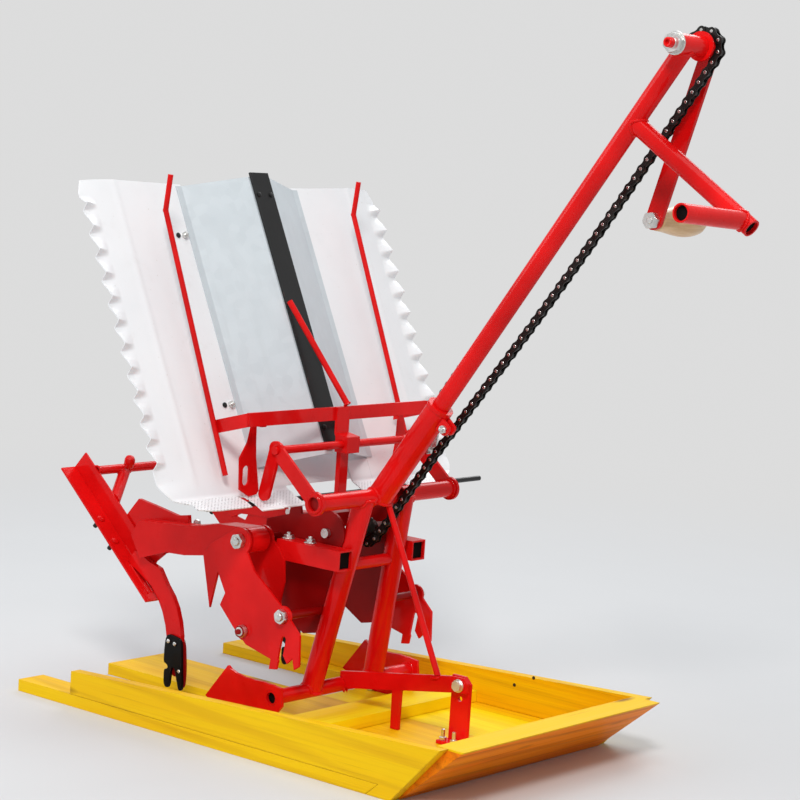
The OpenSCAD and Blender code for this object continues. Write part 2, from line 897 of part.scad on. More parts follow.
// Turned wooden grip: slim at the arm, full beyond its middle and rounded at its end
module crank_grip() {
    r = grip_d / 2;
    bore_r = grip_bolt_d / 2 + shaft_play;
    color("burlywood")
        translate([grip_x, grip_y, grip_z])
            rotate([-90, 0, 0])
                rotate_extrude()
                    polygon([
                        [bore_r, 0],
                        [r * 0.58, 0],
                        for (t = [0 : 0.08 : 0.96])
                            [r * (0.64 + 0.36 * sin(180 * pow(t, 1.35) * 0.86)), 2 + (grip_len - 12) * t],
                        [r * 0.62, grip_len - 4],
                        [r * 0.42, grip_len],
                        [bore_r, grip_len]
                    ]);
}

module drive_shaft() {
    color("silver")
        cross_rod(
            low_sprocket_x, low_sprocket_z,
            -side_plate_y - side_plate_t - 6, side_plate_y + side_plate_t + 6, drive_d
        );
}

module lower_sprocket() {
    color("dimgray")
        difference() {
            union() {
                translate([low_sprocket_x, chain_low_y + sprocket_t / 2, low_sprocket_z])
                    rotate([90, 0, 0])
                        linear_extrude(sprocket_t)
                            sprocket_outline();
                cross_rod(low_sprocket_x, low_sprocket_z, chain_low_y - 12, chain_low_y + 12, 24);
            }
            cross_rod(low_sprocket_x, low_sprocket_z, 0, 200, drive_d + 2 * seat_gap);
        }
}

function four(value) = [value, value, value, value];

// One cross-section of a tray: its four lower corners, then its four upper ones.
// up is the angle of the sheet's thickness away from square to the bed
function tray_row(along, widths, rises, up) = [
    for (i = [0 : 3]) [along[i], widths[i], rises[i]],
    for (i = [3 : -1 : 0]) [along[i] - sheet_t * sin(up), widths[i], rises[i] + sheet_t * cos(up)]
];

// One tray: flat bed, bent flange, pleated outer edge and a drooping lip, in one folded sheet
module tray(colour) {
    bend_y = tray_out - flange_w;
    fold_y = tray_out - pleat_w;
    fold_h = flange_rise * (flange_w - pleat_w) / flange_w;
    lip_turn = tray_tilt - lip_droop;
    lip_reach = [lip_len, lip_len, lip_len - 3, lip_len - 11];
    first = 38.5;
    pitch = (tray_len - 46 - first) / pleats;
    wide = [tray_in, bend_y, fold_y, tray_out];
    flat = [0, 0, fold_h, flange_rise];
    bent_wide = [tray_in, bend_y - 0.4, fold_y - 4, tray_out];
    bent = [0, 0, fold_h + 0.6, flange_rise + pleat_rise];
    rows = concat(
        [tray_row([-2, -6, -8, -6], [tray_in, bend_y, fold_y, tray_out - 8], flat, 0)],
        [tray_row(four(14), wide, flat, 0)],
        [
            for (i = [0 : pleats])
                each [
                    tray_row(four(first + (i - 0.25) * pitch), bent_wide, bent, 0),
                    tray_row(four(first + i * pitch), wide, flat, 0)
                ]
        ],
        [tray_row(four(tray_len - 24), wide, flat, 0)],
        [tray_row(four(tray_len), [tray_in, bend_y, fold_y, tray_out - 2], four(0), lip_turn / 2)],
        [
            tray_row(
                [for (reach = lip_reach) tray_len + reach * cos(lip_turn)],
                [tray_in, tray_out - 80, tray_out - 62, tray_out - 50],
                [for (reach = lip_reach) reach * sin(lip_turn)],
                lip_turn
            )
        ]
    );
    n = len(rows);
    color(colour)
        on_trays()
            polyhedron(
                points = [for (row = rows) each row],
                faces = [
                    for (j = [0 : 2]) each [
                        [j, j + 1, 6 - j, 7 - j],
                        [8 * n - 1 - j, 8 * n - 2 - j, 8 * n - 7 + j, 8 * n - 8 + j]
                    ],
                    for (k = [0 : n - 2]) for (j = [0 : 7]) each [
                        [8 * k + j, 8 * (k + 1) + j, 8 * (k + 1) + (j + 1) % 8],
                        [8 * k + j, 8 * (k + 1) + (j + 1) % 8, 8 * k + (j + 1) % 8]
                    ]
                ]
            );
}

module tray_left() {
    mirror([0, 1, 0]) tray("white");
}

module tray_right() {
    tray("whitesmoke");
}

// Bright sheet walls that rise from the inner edge of each tray towards the middle
module inner_walls() {
    base = sheet_t + seat_gap;
    color("lightgray")
        on_trays()
            both_sides()
                rotate([0, 90, 0])
                    linear_extrude(wall_len)
                        polygon([
                            [-base, tray_in + wall_foot],
                            [-base, tray_in],
                            [-wall_rise, wall_top_y],
                            [-wall_rise, 6],
                            [-wall_rise - sheet_t, 6],
                            [-wall_rise - sheet_t, wall_top_y + 0.8],
                            [-base - sheet_t, tray_in + 0.8],
                            [-base - sheet_t, tray_in + wall_foot]
                        ]);
}

// Plate that closes the bed between the trays, down to a gap above the lip rail
module tray_sill() {
    rail_s = (lip_rail_x - tray_top_x) * cos(tray_tilt) + (tray_top_z - lip_rail_z) * sin(tray_tilt);
    color("white")
        on_trays()
            translate([rail_s - sill_gap - sill_len, 0, -seat_gap])
                rotate([0, 90, 0])
                    linear_extrude(sill_len)
                        polygon([
                            [0, -tray_in - 18],
                            [0, tray_in + 18],
                            [sheet_t, tray_in + 18],
                            [sheet_t + 0.1, 0],
                            [sheet_t, -tray_in - 18]
                        ]);
}

module centre_strip() {
    color([0.06, 0.06, 0.06])
        on_trays()
            translate([-6, -strip_w / 2, wall_rise + sheet_t + seat_gap])
                cube([wall_len, strip_w, strip_t]);
}

// Slotted hanger below the retainer bar, seen from the front
module retainer_hanger() {
    top = retainer_z - 2;
    difference() {
        polygon([
            [160, top],
            [159, top - 26],
            [157, top - 48],
            [148, top - 96],
            [152, top - 101],
            [168, top - 103],
            [188, top - 92],
            [191, top - 46],
            [176, top - 24],
            [170, top]
        ]);
        translate([177, top - 64]) circle(d = 13);
        translate([170.5, top - 80]) square([13, 16]);
        translate([177, top - 80]) circle(d = 13);
    }
}

// Flat bar across the front of the trays, with both ends bent back to the rods
module retainer_bar() {
    hanger_x = retainer_x - 22;
    back_rod = tray_point(378, 0, 20);
    color("red") {
        translate([retainer_x - retainer_t / 2, -retainer_half, retainer_z])
            cube([retainer_t, 2 * retainer_half, retainer_h]);
        both_sides()
            slab(retainer_half, retainer_half + retainer_t)
                polygon([
                    [retainer_x + retainer_t / 2, retainer_z],
                    [retainer_x + retainer_t / 2, retainer_z + retainer_h],
                    [back_rod[0] - 6, retainer_z + retainer_h - 18],
                    [back_rod[0] - 6, retainer_z - 18]
                ]);
        both_sides() {
            translate([hanger_x, 0, 0])
                rotate([90, 0, 90])
                    linear_extrude(3)
                        retainer_hanger();
            translate([hanger_x, 160, retainer_z - 2]) cube([retainer_x - hanger_x, 10, 4]);
        }
    }
}

module seedling_rods() {
    color("red")
        both_sides() {
            rod(tray_point(10, rod_y, 68), tray_point(54, rod_y, 40), hold_rod_d);
            translate(tray_point(54, rod_y, 40)) sphere(d = hold_rod_d + 0.8);
            rod(tray_point(54, rod_y, 40), tray_point(450, rod_y, 16), hold_rod_d);
        }
}

module stay_rod() {
    foot = [retainer_x, 14, retainer_z + retainer_h + 3.2];
    head = tray_point(203, -wall_top_y + 4, wall_rise + sheet_t + strip_t + 5.5);
    color("red") rod(foot, head, 9);
}

// Shoe that runs on the guide rail, with the finger that the feed moves
module guide_shoe() {
    front = retainer_x + retainer_t / 2 + seat_gap;
    block_back = guide_x - guide_d / 2 - 6;
    block_front = guide_x + guide_d / 2 + 6;
    color("red") {
        difference() {
            slab(-14, 14)
                polygon([
                    [front, retainer_z + retainer_h],
                    [front, guide_z + 16],
                    [block_back, guide_z + 10],
                    [block_back, guide_z - 12],
                    [block_front, guide_z - 12],
                    [block_front, guide_z + 12],
                    [front + 4, guide_z + 16],
                    [front + 4, retainer_z + retainer_h]
                ]);
            cross_rod(guide_x, guide_z, -60, 60, guide_d + 2 * shaft_play);
        }
        translate([block_back, -9, lip_rail_z - 6]) cube([8, 18, guide_z - 12 - lip_rail_z + 6]);
    }
}

// Places a child along the arm angles: x runs from the top to the foot, z stands out of their face
module on_arm() {
    translate(arm_top)
        rotate([0, arm_slant, 0])
            children();
}

angle_y = row_y - 13;

// Angles with a gusset that rises from their flange above the shank
module arm_angles() {
    color("red")
        both_sides()
            on_arm() {
                translate([0, angle_y, 0]) cube([arm_len, angle_face, arm_t]);
                slab(angle_y, angle_y + arm_t)
                    polygon([
                        [0, 0],
                        [0, angle_depth],
                        [157, angle_depth + 2],
                        [212, angle_depth + 34],
                        [226, angle_depth + 24],
                        [222, angle_depth + 2],
                        [228, 0]
                    ]);
            }
}

arm_tube_x = -443;
arm_tube_z = 331;

module arm_tube() {
    color("red")
        pipe(
            [arm_tube_x, -angle_y + seat_gap, arm_tube_z],
            [arm_tube_x, angle_y - seat_gap, arm_tube_z],
            arm_tube_d,
            2
        );
}

module arm_struts() {
    color("red")
        both_sides()
            difference() {
                rod([arm_tube_x + 2, 54, arm_tube_z - 6], [-398, angle_y + 2, 289], 18);
                cross_rod(arm_tube_x, arm_tube_z, 0, 200, arm_tube_d + 2 * seat_gap);
                on_arm() translate([-10, angle_y - seat_gap, -40]) cube([arm_len + 20, 60, 120]);
            }
}

// Folded links that carry the arms on the pivot pins, with a bracket above each angle's flange
module arm_links() {
    near = row_y - link_w / 2;
    far = row_y + link_w / 2;
    color("red")
        both_sides()
            difference() {
                union() {
                    difference() {
                        slab(near, far) {
                            translate([pivot_x, pivot_z]) circle(d = 38);
                            polygon([
                                [pivot_x, pivot_z + 19],
                                [pivot_x - 50, pivot_z + 16],
                                [pivot_x - 121, pivot_z + 2],
                                [pivot_x - 222, pivot_z - 5],
                                [pivot_x - 235, pivot_z - 30],
                                [pivot_x - 215, pivot_z - 62],
                                [pivot_x - 160, pivot_z - 44],
                                [pivot_x - 121, pivot_z - 42],
                                [pivot_x - 77, pivot_z - 35],
                                [pivot_x - 34, pivot_z - 18],
                                [pivot_x, pivot_z - 19]
                            ]);
                        }
                        slab(near + arm_t, far - arm_t)
                            polygon([
                                [pivot_x - 26, pivot_z + 14.5],
                                [pivot_x - 50, pivot_z + 13],
                                [pivot_x - 121, pivot_z - 1],
                                [pivot_x - 222, pivot_z - 8],
                                [pivot_x - 250, pivot_z - 40],
                                [pivot_x - 215, pivot_z - 80],
                                [pivot_x - 26, pivot_z - 40]
                            ]);
                    }
                    slab(near - 3, angle_y - seat_gap)
                        polygon([
                            [pivot_x - 284, pivot_z - 14],
                            [pivot_x - 254, pivot_z + 21],
                            [pivot_x - 218, pivot_z + 16],
                            [pivot_x - 169, pivot_z + 8],
                            [pivot_x - 147, pivot_z + 12],
                            [pivot_x - 143, pivot_z - 10],
                            [pivot_x - 207, pivot_z - 16],
                            [pivot_x - 242, pivot_z - 18],
                            [pivot_x - 262, pivot_z - 27]
                        ]);
                }
                cross_rod(pivot_x, pivot_z, 0, 200, pivot_d + 2 * shaft_play);
            }
}

shank_y = row_y - shank_t / 2;

// Curved flat shanks below the arm angles
module claw_shanks() {
    color("red")
        both_sides()
            difference() {
                slab(shank_y, shank_y + shank_t)
                    polygon([
                        [-346, 206],
                        [-331, 225],
                        [-301, 213],
                        [-277, 206],
                        [-260, 183],
                        [-246, 168],
                        [-236, 152],
                        [-228, 131],
                        [-224, 112],
                        [-223, 95],
                        [-251, 93],
                        [-254, 105],
                        [-258, 122],
                        [-266, 142],
                        [-276, 158],
                        [-293, 177]
                    ]);
                on_arm() translate([-10, 60, -40]) cube([arm_len + 20, 130, 40 + arm_t + seat_gap]);
            }
}

// Forked claws bolted to the shanks, with two pointed prongs
module claws() {
    color([0.08, 0.08, 0.08])
        both_sides()
            slab(shank_y + shank_t + seat_gap, shank_y + shank_t + seat_gap + claw_t)
                polygon([
                    [-253, 105],
                    [-237, 109],
                    [-220, 107],
                    [-215, 60],
                    [-213, 37],
                    [-222, 30],
                    [-232, 61],
                    [-239, 60],
                    [-242, 32],
                    [-250, 29],
                    [-252, 57]
                ]);
}

sole_planks();
floor_boards();
side_boards();
bow_board();
cross_batten();
lower_cross_tube();
foot_plates();
frame_legs();
upper_cross_tube();
leg_tie_tube();
mast_sleeve();
mast_tube();
axle_tube();
handle_tube();
hold_bar();
draw_bar();
front_post();
brace_rod();
tray_brackets();
guide_rail();
lip_rail();
side_plates();
support_bars();
inner_arm_plates();
outer_arm_plates();
plate_pins();
feed_case();
drive_chain();
chain_tensioner();
crank_axle();
top_sprocket();
crank_arm();
grip_bolt();
crank_grip();
drive_shaft();
lower_sprocket();
tray_left();
tray_right();
inner_walls();
tray_sill();
centre_strip();
retainer_bar();
seedling_rods();
stay_rod();
guide_shoe();
arm_angles();
arm_tube();
arm_struts();
arm_links();
claw_shanks();
claws();
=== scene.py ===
"""Dresses the solids of a hand-cranked two-row rice transplanter: finishes, roller chain, pleated
trays, fasteners, weld beads, the studio and the camera. Shapes are worked out in millimetres, as in
the part's source, and Shape.object turns them into metres. Shaders, lamps and camera are in metres."""
from math import asin, ceil, copysign, cos, pi, radians, sin, tan

import bmesh
import bpy
import numpy as np
from bpy.props import FloatProperty, FloatVectorProperty, IntProperty, PointerProperty
from mathutils import Matrix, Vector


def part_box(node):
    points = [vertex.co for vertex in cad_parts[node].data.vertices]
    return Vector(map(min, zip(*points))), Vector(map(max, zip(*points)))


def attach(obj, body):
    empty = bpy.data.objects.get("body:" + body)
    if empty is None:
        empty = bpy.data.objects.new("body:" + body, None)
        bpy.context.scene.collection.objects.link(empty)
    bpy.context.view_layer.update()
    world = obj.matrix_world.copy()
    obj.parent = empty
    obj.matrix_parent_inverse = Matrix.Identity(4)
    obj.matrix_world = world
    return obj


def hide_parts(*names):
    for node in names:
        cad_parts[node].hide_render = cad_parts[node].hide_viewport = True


bl_info = {
    "name": "Rice transplanter dressing",
    "version": (1, 0, 0),
    "blender": (4, 5, 0),
    "location": "3D View > Sidebar > Transplanter",
    "description": "Finishes, chain links, tray sheets, fasteners and studio for the transplanter's frame",
    "category": "Object",
}

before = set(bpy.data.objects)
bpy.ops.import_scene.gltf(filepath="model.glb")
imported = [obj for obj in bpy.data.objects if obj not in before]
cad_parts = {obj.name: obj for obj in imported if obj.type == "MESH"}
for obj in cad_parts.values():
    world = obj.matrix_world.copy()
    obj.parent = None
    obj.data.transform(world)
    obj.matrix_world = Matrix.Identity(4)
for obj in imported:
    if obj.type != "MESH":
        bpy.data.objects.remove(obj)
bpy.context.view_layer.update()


def unit(v):
    """A vector, or each row of an array of them, at length 1."""
    v = np.asarray(v, float)
    return v / np.maximum(np.linalg.norm(v, axis=-1, keepdims=True), 1e-9)


# Sizes and places of the solids that the pieces are fitted to
X, Y, Z = np.eye(3)
TRAY_TOP = np.array([-285.0, 0, 782])
TRAY_TILT = radians(90 - 25.56)
TRAY_NORMAL = np.array([sin(TRAY_TILT), 0, cos(TRAY_TILT)])
TRAY_LEN, TRAY_IN, TRAY_OUT = 475, 122, 324
SHEET = 1.6
WALL_RISE = 47
FOLD_TURN = TRAY_TILT - radians(25)
FOLD_R = 9
FOLD_CUT = FOLD_R * tan(FOLD_TURN / 2)
FOLD_START = TRAY_LEN - FOLD_CUT
FOLD_END = FOLD_START + FOLD_R * FOLD_TURN
AXLE = np.array([501.0, 0, 1024])
PITCH, LINKS, TEETH = 15.875, 120, 9
PITCH_R = PITCH / (2 * sin(pi / TEETH))
SPAN = (LINKS - TEETH) * PITCH / 2
CHAIN_ANGLE = radians(55.34)
CHAIN_UP = np.array([cos(CHAIN_ANGLE), 0, sin(CHAIN_ANGLE)])
CHAIN_OUT = np.array([-sin(CHAIN_ANGLE), 0, cos(CHAIN_ANGLE)])
CHAIN_TOP_Y, CHAIN_LOW_Y = 58.5, 22
CHAIN_HELD, CHAIN_SAG = 190, 8
HIGH_TUBE = np.array([48.0, 0, 356])
LOW_TUBE = np.array([-10.0, 0, 64])
MAST_FOOT = HIGH_TUBE - 11 * Y
MAST_HEAD = AXLE + 13 * Y
MAST_DIR = unit(MAST_HEAD - MAST_FOOT)
HANDLE = np.array([200.0, -9, -127])
HANDLE_START = MAST_FOOT + 680 * MAST_DIR
HANDLE_END = HANDLE_START + HANDLE
HOLD = np.array([-2.0, -146, 8])
HOLD_AT = HANDLE_START + 0.93 * HANDLE
CLAMP = MAST_FOOT + 158 * MAST_DIR
CLAMP_OUT = unit([0.827, 0, -0.561])
CRANK_Y = CHAIN_TOP_Y + 11.5
CRANK_SLANT = radians(16.5)
GRIP = AXLE - 246 * np.array([sin(CRANK_SLANT), 0, cos(CRANK_SLANT)])
PIVOT = (-93, 280)
PLATE_FACE = 152
ARM_TOP = np.array([-491.0, 0, 329])
ARM_ALONG = unit([202, 0, -176])
ARM_OUT = np.array([-ARM_ALONG[2], 0, ARM_ALONG[0]])
ARM_Y = 129
BAR_Y = 83


# Meshes worked out as arrays

def square_axes(direction):
    """Two unit vectors square to a direction and to each other."""
    w = unit(direction)
    a = unit(np.cross(w, Z if abs(w[2]) < 0.9 else X))
    return a, np.cross(w, a)


def turns(count):
    """Evenly spaced angles of one full turn."""
    return np.linspace(0, 2 * pi, count, endpoint=False)


def spokes(axis, angles):
    """Unit vectors square to an axis, at the given angles round it."""
    a, b = square_axes(axis)
    return np.cos(angles)[:, None] * a + np.sin(angles)[:, None] * b


def rise(value, start, length):
    """0 up to a start, 1 past a length beyond it and straight between; a negative length falls."""
    return np.clip((value - start) / length, 0, 1)


def quads(rows, cols, wrap_rows=False, wrap_cols=False):
    """Indices of the faces of a grid of rows by cols points, closed on itself where asked."""
    r = np.arange(rows if wrap_rows else rows - 1)
    c = np.arange(cols if wrap_cols else cols - 1)
    r, c = np.meshgrid(r, c, indexing="ij")
    r2, c2 = (r + 1) % rows, (c + 1) % cols
    return np.stack([r * cols + c, r2 * cols + c, r2 * cols + c2, r * cols + c2], -1).reshape(-1, 4)


class Shape:
    """Gathers grids into one mesh: each grid is an array of points with its faces."""

    def __init__(self):
        self.points, self.faces, self.count = [], [], 0

    def add(self, points, faces):
        """Adds points and the faces between them, which count from the first of these points."""
        points = np.asarray(points, float).reshape(-1, 3)
        self.points.append(points)
        self.faces += (np.asarray(faces) + self.count).tolist()
        self.count += len(points)
        return self

    def copies(self, points):
        """Many like tubes at once: points has the axes copy, row, column and xyz."""
        many, rows, cols = points.shape[:3]
        first = (np.arange(many) * rows * cols)[:, None, None]
        return self.add(points, (quads(rows, cols, wrap_cols=True) + first).reshape(-1, 4))

    def turned(self, at, axis, radii, heights, sides, closed=False):
        """A surface about an axis. Its point is: place + radius * spoke + height * axis, where the
        radii have a row for each height and may change with the angle."""
        ring = spokes(axis, turns(sides))
        points = np.asarray(at) + radii[..., None] * ring + np.asarray(heights)[:, None, None] * unit(axis)
        return self.add(points, quads(len(heights), sides, wrap_rows=closed, wrap_cols=True))

    def lathe(self, at, axis, profile, sides=32):
        """A profile of (radius, height) pairs turned about an axis, closed at both ends."""
        r, h = np.transpose([(0.0, profile[0][1]), *profile, (0.0, profile[-1][1])])
        return self.turned(at, axis, r[:, None], h, sides)

    def hexagon(self, at, axis, across, height, bore=0.0, turn=0.0):
        """A hexagonal head or nut. Its outline's radius at angle t is half the width across flats
        over the cosine of t folded into one sixth, and the corners are cut by a cone at each face."""
        sides, cut = 48, 0.12 * height
        fold = (turns(sides) + turn + pi / 6) % (pi / 3) - pi / 6
        corner = across / 2 / cos(pi / 6)
        limits = corner - cut * np.array([0.9, 0.3, 0, 0, 0.3, 0.9])
        hole = np.full((1, sides), bore)
        radii = np.vstack([hole, np.minimum(across / 2 / np.cos(fold), limits[:, None]), hole])
        levels = [0, 0, cut / 2, cut, height - cut, height - cut / 2, height, height]
        return self.turned(at, axis, radii, levels, sides, closed=bore > 0)

    def thread(self, at, axis, radius, length, pitch):
        """A threaded shaft end. Its radius is the outer radius less the depth times a triangle wave
        of (height over pitch minus angle over a turn), and it narrows over its last half pitch."""
        depth, sides = 0.6, 24
        z = np.linspace(0, length, max(6, int(length / pitch * 6)))
        wave = np.abs(((z[:, None] / pitch - turns(sides) / (2 * pi)) % 1.0) * 2 - 1)
        taper = rise(z[:, None], length, -0.5 * pitch)
        r = radius - depth * wave - (1 - taper) * depth * 1.6
        flat = 0 * r[:1]
        return self.turned(at, axis, np.vstack([flat, r, flat]), [z[0], *z, z[-1]], sides)

    def washer(self, at, axis, outer, inner, thick):
        """A flat ring with eased edges: its section is a rectangle with four small corner cuts."""
        e = thick * 0.25
        r, h = np.transpose([
            (inner, e), (inner + e, 0), (outer - e, 0), (outer, e), (outer, thick - e),
            (outer - e, thick), (inner + e, thick), (inner, thick - e)])
        return self.turned(at, axis, r[:, None], h, 36, closed=True)

    def bead(self, path, radius, closed=True):
        """A weld bead along a path: a round section whose radius swells and shrinks by a ripple, the
        sine of the distance along it over the spacing of the weld's scales, plus a slower one."""
        ripple, spacing, sides = 0.12, 3.4, 8
        ahead, behind = np.roll(path, -1, 0), np.roll(path, 1, 0)
        if not closed:
            ahead[-1], behind[0] = path[-1], path[0]
        run = unit(ahead - behind)
        side = unit(np.cross(run, [0.13, 0.31, 0.94]))
        up = np.cross(run, side)
        s = np.cumsum(np.linalg.norm(path - behind, axis=1))
        r = radius * (1 + ripple * np.sin(2 * pi * s / spacing) + 0.06 * np.sin(s * 0.311))
        if not closed:
            order = np.arange(len(path))
            r = r * np.clip(np.minimum(order, order[::-1]) / 4.0, 0, 1)
        t = turns(sides)[:, None]
        section = np.cos(t) * side[:, None] + np.sin(t) * up[:, None]
        return self.add(path[:, None] + r[:, None, None] * section,
                        quads(len(path), sides, wrap_rows=closed, wrap_cols=True))

    def plate(self, outline, origin, across, up, out, thick, ease=0.5):
        """A flat plate from an outline of (across, up) pairs, with its edges eased by a small cut.
        Its rings are the outline drawn in a little at both faces and full between them."""
        p = np.asarray(outline, float)
        x, y = p.T
        turn = np.roll(p, -1, 0) - np.roll(p, 1, 0)
        area = np.sum(x * np.roll(y, -1) - np.roll(x, -1) * y)
        normal = unit(turn[:, ::-1] * [1, -1]) * copysign(1, area)
        mid = np.tile(p.mean(0), (len(p), 1))
        rows = [origin + q @ np.array([across, up]) + level * out for q, level in (
            (mid, 0), (p - ease * normal, 0), (p, ease), (p, thick - ease),
            (p - ease * normal, thick), (mid, thick))]
        return self.add(rows, quads(6, len(p), wrap_cols=True))

    def object(self, name, finish, body=None, slot=None, replaces=None, smooth=True, weld=True):
        """The gathered mesh as an object in metres, with its finish, riding on its body."""
        mesh = bpy.data.meshes.new(name)
        mesh.from_pydata((np.concatenate(self.points) / 1000).tolist(), [], self.faces)
        if weld:
            work = bmesh.new()
            work.from_mesh(mesh)
            bmesh.ops.remove_doubles(work, verts=work.verts, dist=1e-6)
            bmesh.ops.dissolve_degenerate(work, edges=work.edges, dist=1e-7)
            bmesh.ops.recalc_face_normals(work, faces=work.faces)
            work.to_mesh(mesh)
            work.free()
        mesh.validate()
        thing = bpy.data.objects.new(name, mesh)
        bpy.context.scene.collection.objects.link(thing)
        if smooth:
            mesh.shade_smooth()
            mesh.set_sharp_from_angle(angle=radians(38))
        mesh.materials.append(FINISHES[finish])
        if body:
            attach(thing, body)
        if replaces:
            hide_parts(replaces)
        return thing


def saddle(start, direction, radius, on_point, on_axis, on_radius, closed=True):
    """The seam where a round tube meets a round tube: for each line along the first tube's skin,
    the distance at which its distance from the second tube's axis is that tube's radius."""
    u, w = unit(direction), unit(on_axis)
    steps = 96
    t = turns(steps) if closed else np.linspace(0, 1.96 * pi, steps)
    q = np.asarray(start) + radius * spokes(u, t)
    rel = q - np.asarray(on_point)
    rel = rel - (rel @ w)[:, None] * w
    flat = u - (u @ w) * w
    k2, k1 = flat @ flat, rel @ flat
    k0 = (rel * rel).sum(1) - on_radius ** 2
    root = np.sqrt(np.maximum(k1 * k1 - k2 * k0, 0))
    return q + ((-k1 + root) / k2)[:, None] * u


def circle_path(at, axis, radius, steps=72):
    """Points of a circle about an axis."""
    return np.asarray(at) + radius * spokes(axis, turns(steps))


def line_path(a, b):
    """Evenly spaced points from one point to another."""
    a, b = np.asarray(a, float), np.asarray(b, float)
    steps = max(8, ceil(np.linalg.norm(b - a) / 0.9) - 1)
    return a + np.linspace(0, 1, steps)[:, None] * (b - a)


def tray_place(s, y, h):
    """Points of the trays' own plane: s down the slope, y across, h out of it."""
    s, y, h = np.broadcast_arrays(s, y, h)
    c, n = cos(TRAY_TILT), sin(TRAY_TILT)
    return np.stack([TRAY_TOP[0] + s * c + h * n, y, TRAY_TOP[2] - s * n + h * c], -1)


def past_fold(u):
    """How far along the lip a point lies that is u down the slope."""
    return np.clip(u - FOLD_END, 0, None)


def fold_over(u, s, y, h, over, lift=0.0):
    """The top and the underside of a sheet that turns over the trays' fold: past its start the
    distance down the slope turns about a small radius, then goes on along the drooping lip. The
    underside stands a lift out along the normal, and the top one sheet above it."""
    angle = np.clip((u - FOLD_START) / FOLD_R, 0, FOLD_TURN)
    s = np.minimum(s, FOLD_START) + FOLD_R * np.sin(angle) + over * cos(FOLD_TURN)
    h = h + FOLD_R * (1 - np.cos(angle)) + over * sin(FOLD_TURN)
    return [tray_place(s - np.sin(angle) * k, y, h + np.cos(angle) * k) for k in (SHEET + lift, lift)]


def arm_place(along, y, out):
    """Points along the arm angles: along from the top, out of their face."""
    along, y, out = np.broadcast_arrays(along, y, out)
    p = ARM_TOP + along[..., None] * ARM_ALONG + out[..., None] * ARM_OUT
    p[..., 1] = y
    return p


# Materials written as expressions

class Wire:
    """A socket's value in a node tree. Python's operators on it add Math nodes."""

    def __init__(self, nodes, socket):
        self.nodes, self.socket = nodes, socket

    def maths(self, operation, a, b):
        """A Math node on two values."""
        return self.nodes.node("Math", {0: a, 1: b}, operation=operation)

    def other(self, name):
        """Another output of the same node."""
        return Wire(self.nodes, self.socket.node.outputs[name])

    def __add__(self, other):
        return self.maths("ADD", self, other)

    __radd__ = __add__

    def __sub__(self, other):
        return self.maths("SUBTRACT", self, other)

    def __rsub__(self, other):
        return self.maths("SUBTRACT", other, self)

    def __mul__(self, other):
        return self.maths("MULTIPLY", self, other)

    __rmul__ = __mul__


class Nodes:
    """The node tree of a material or world, being put together"""

    def __init__(self, owner):
        owner.use_nodes = True
        self.tree = owner.node_tree
        self.tree.nodes.clear()

    def node(self, kind, inputs=None, output=0, **settings):
        """Adds a shader node of a kind; its inputs are wires or plain values, by name or number."""
        n = self.tree.nodes.new("ShaderNode" + kind)
        for key, value in settings.items():
            setattr(n, key, value)
        for key, value in (inputs or {}).items():
            if isinstance(value, Wire):
                self.tree.links.new(value.socket, n.inputs[key])
            else:
                n.inputs[key].default_value = value
        return Wire(self, n.outputs[output]) if len(n.outputs) else None


class Finish(Nodes):
    """A material being put together, with the place on the object at hand as where."""

    def __init__(self, name):
        self.material = bpy.data.materials.new(name)
        super().__init__(self.material)
        self.where = self.node("TexCoord", output="Object")

    def stretched(self, scale):
        """The place times a scale for each axis."""
        return self.node("Mapping", {0: self.where, 3: scale})

    def noise(self, scale, detail=3, rough=0.5, at=None):
        """Soft noise from 0 to 1; its scale is about how many patches fit in a metre."""
        return self.node("TexNoise", {
            "Vector": at or self.where, "Scale": scale, "Detail": detail, "Roughness": rough})

    def axis(self, k):
        """The place along one axis."""
        return self.node("SeparateXYZ", {0: self.where}, output=k)

    def remap(self, value, low, high, to_low=0, to_high=1, **settings):
        """A value taken from low..high to to_low..to_high, and held at those ends."""
        return self.node("MapRange", {0: value, 1: low, 2: high, 3: to_low, 4: to_high}, **settings)

    def mix(self, factor, a, b):
        """Colour a where the factor is 0 and colour b where it is 1."""
        a, b = (v if isinstance(v, Wire) else (*v, 1) for v in (a, b))
        return self.node("Mix", {0: factor, 6: a, 7: b}, output=2, data_type="RGBA")

    def edges(self, width):
        """How sharply the surface turns within a width: 0 on a flat face, towards 1 at an edge.
        The second value is the normal with the edge eased over that width."""
        bent = self.node("Bevel", {"Radius": width}, samples=4)
        flat = self.node("NewGeometry", output="Normal")
        dot = self.node("VectorMath", {0: bent, 1: flat}, "Value", operation="DOT_PRODUCT")
        return self.remap(dot, 0.995, 0.80), bent

    def shader(self, colour, rough, metallic=0, bump=None, bump_size=0.0002, strength=1, coat=0,
               coat_rough=0.1, normal=None, specular=0.5):
        """A surface. bump is a relief from 0 to 1, and bump_size is its depth in metres."""
        sockets = {"Base Color": colour, "Roughness": rough, "Metallic": metallic, "Coat Weight": coat,
                   "Coat Roughness": coat_rough, "Specular IOR Level": specular}
        if bump is not None:
            given = {"Height": bump, "Distance": bump_size, "Strength": strength}
            if normal is not None:
                given["Normal"] = normal
            sockets["Normal"] = self.node("Bump", given)
        return self.node("BsdfPrincipled", sockets)

    def shown(self, shader):
        """Makes a shader the material's surface."""
        self.node("OutputMaterial", {0: shader})
        return self.material

    def finish(self, *values, **named):
        """The material with one plain surface over all of it."""
        return self.shown(self.shader(*values, **named))


def shade(colour, factor):
    """A colour with each part times a factor."""
    return tuple(c * factor for c in colour)


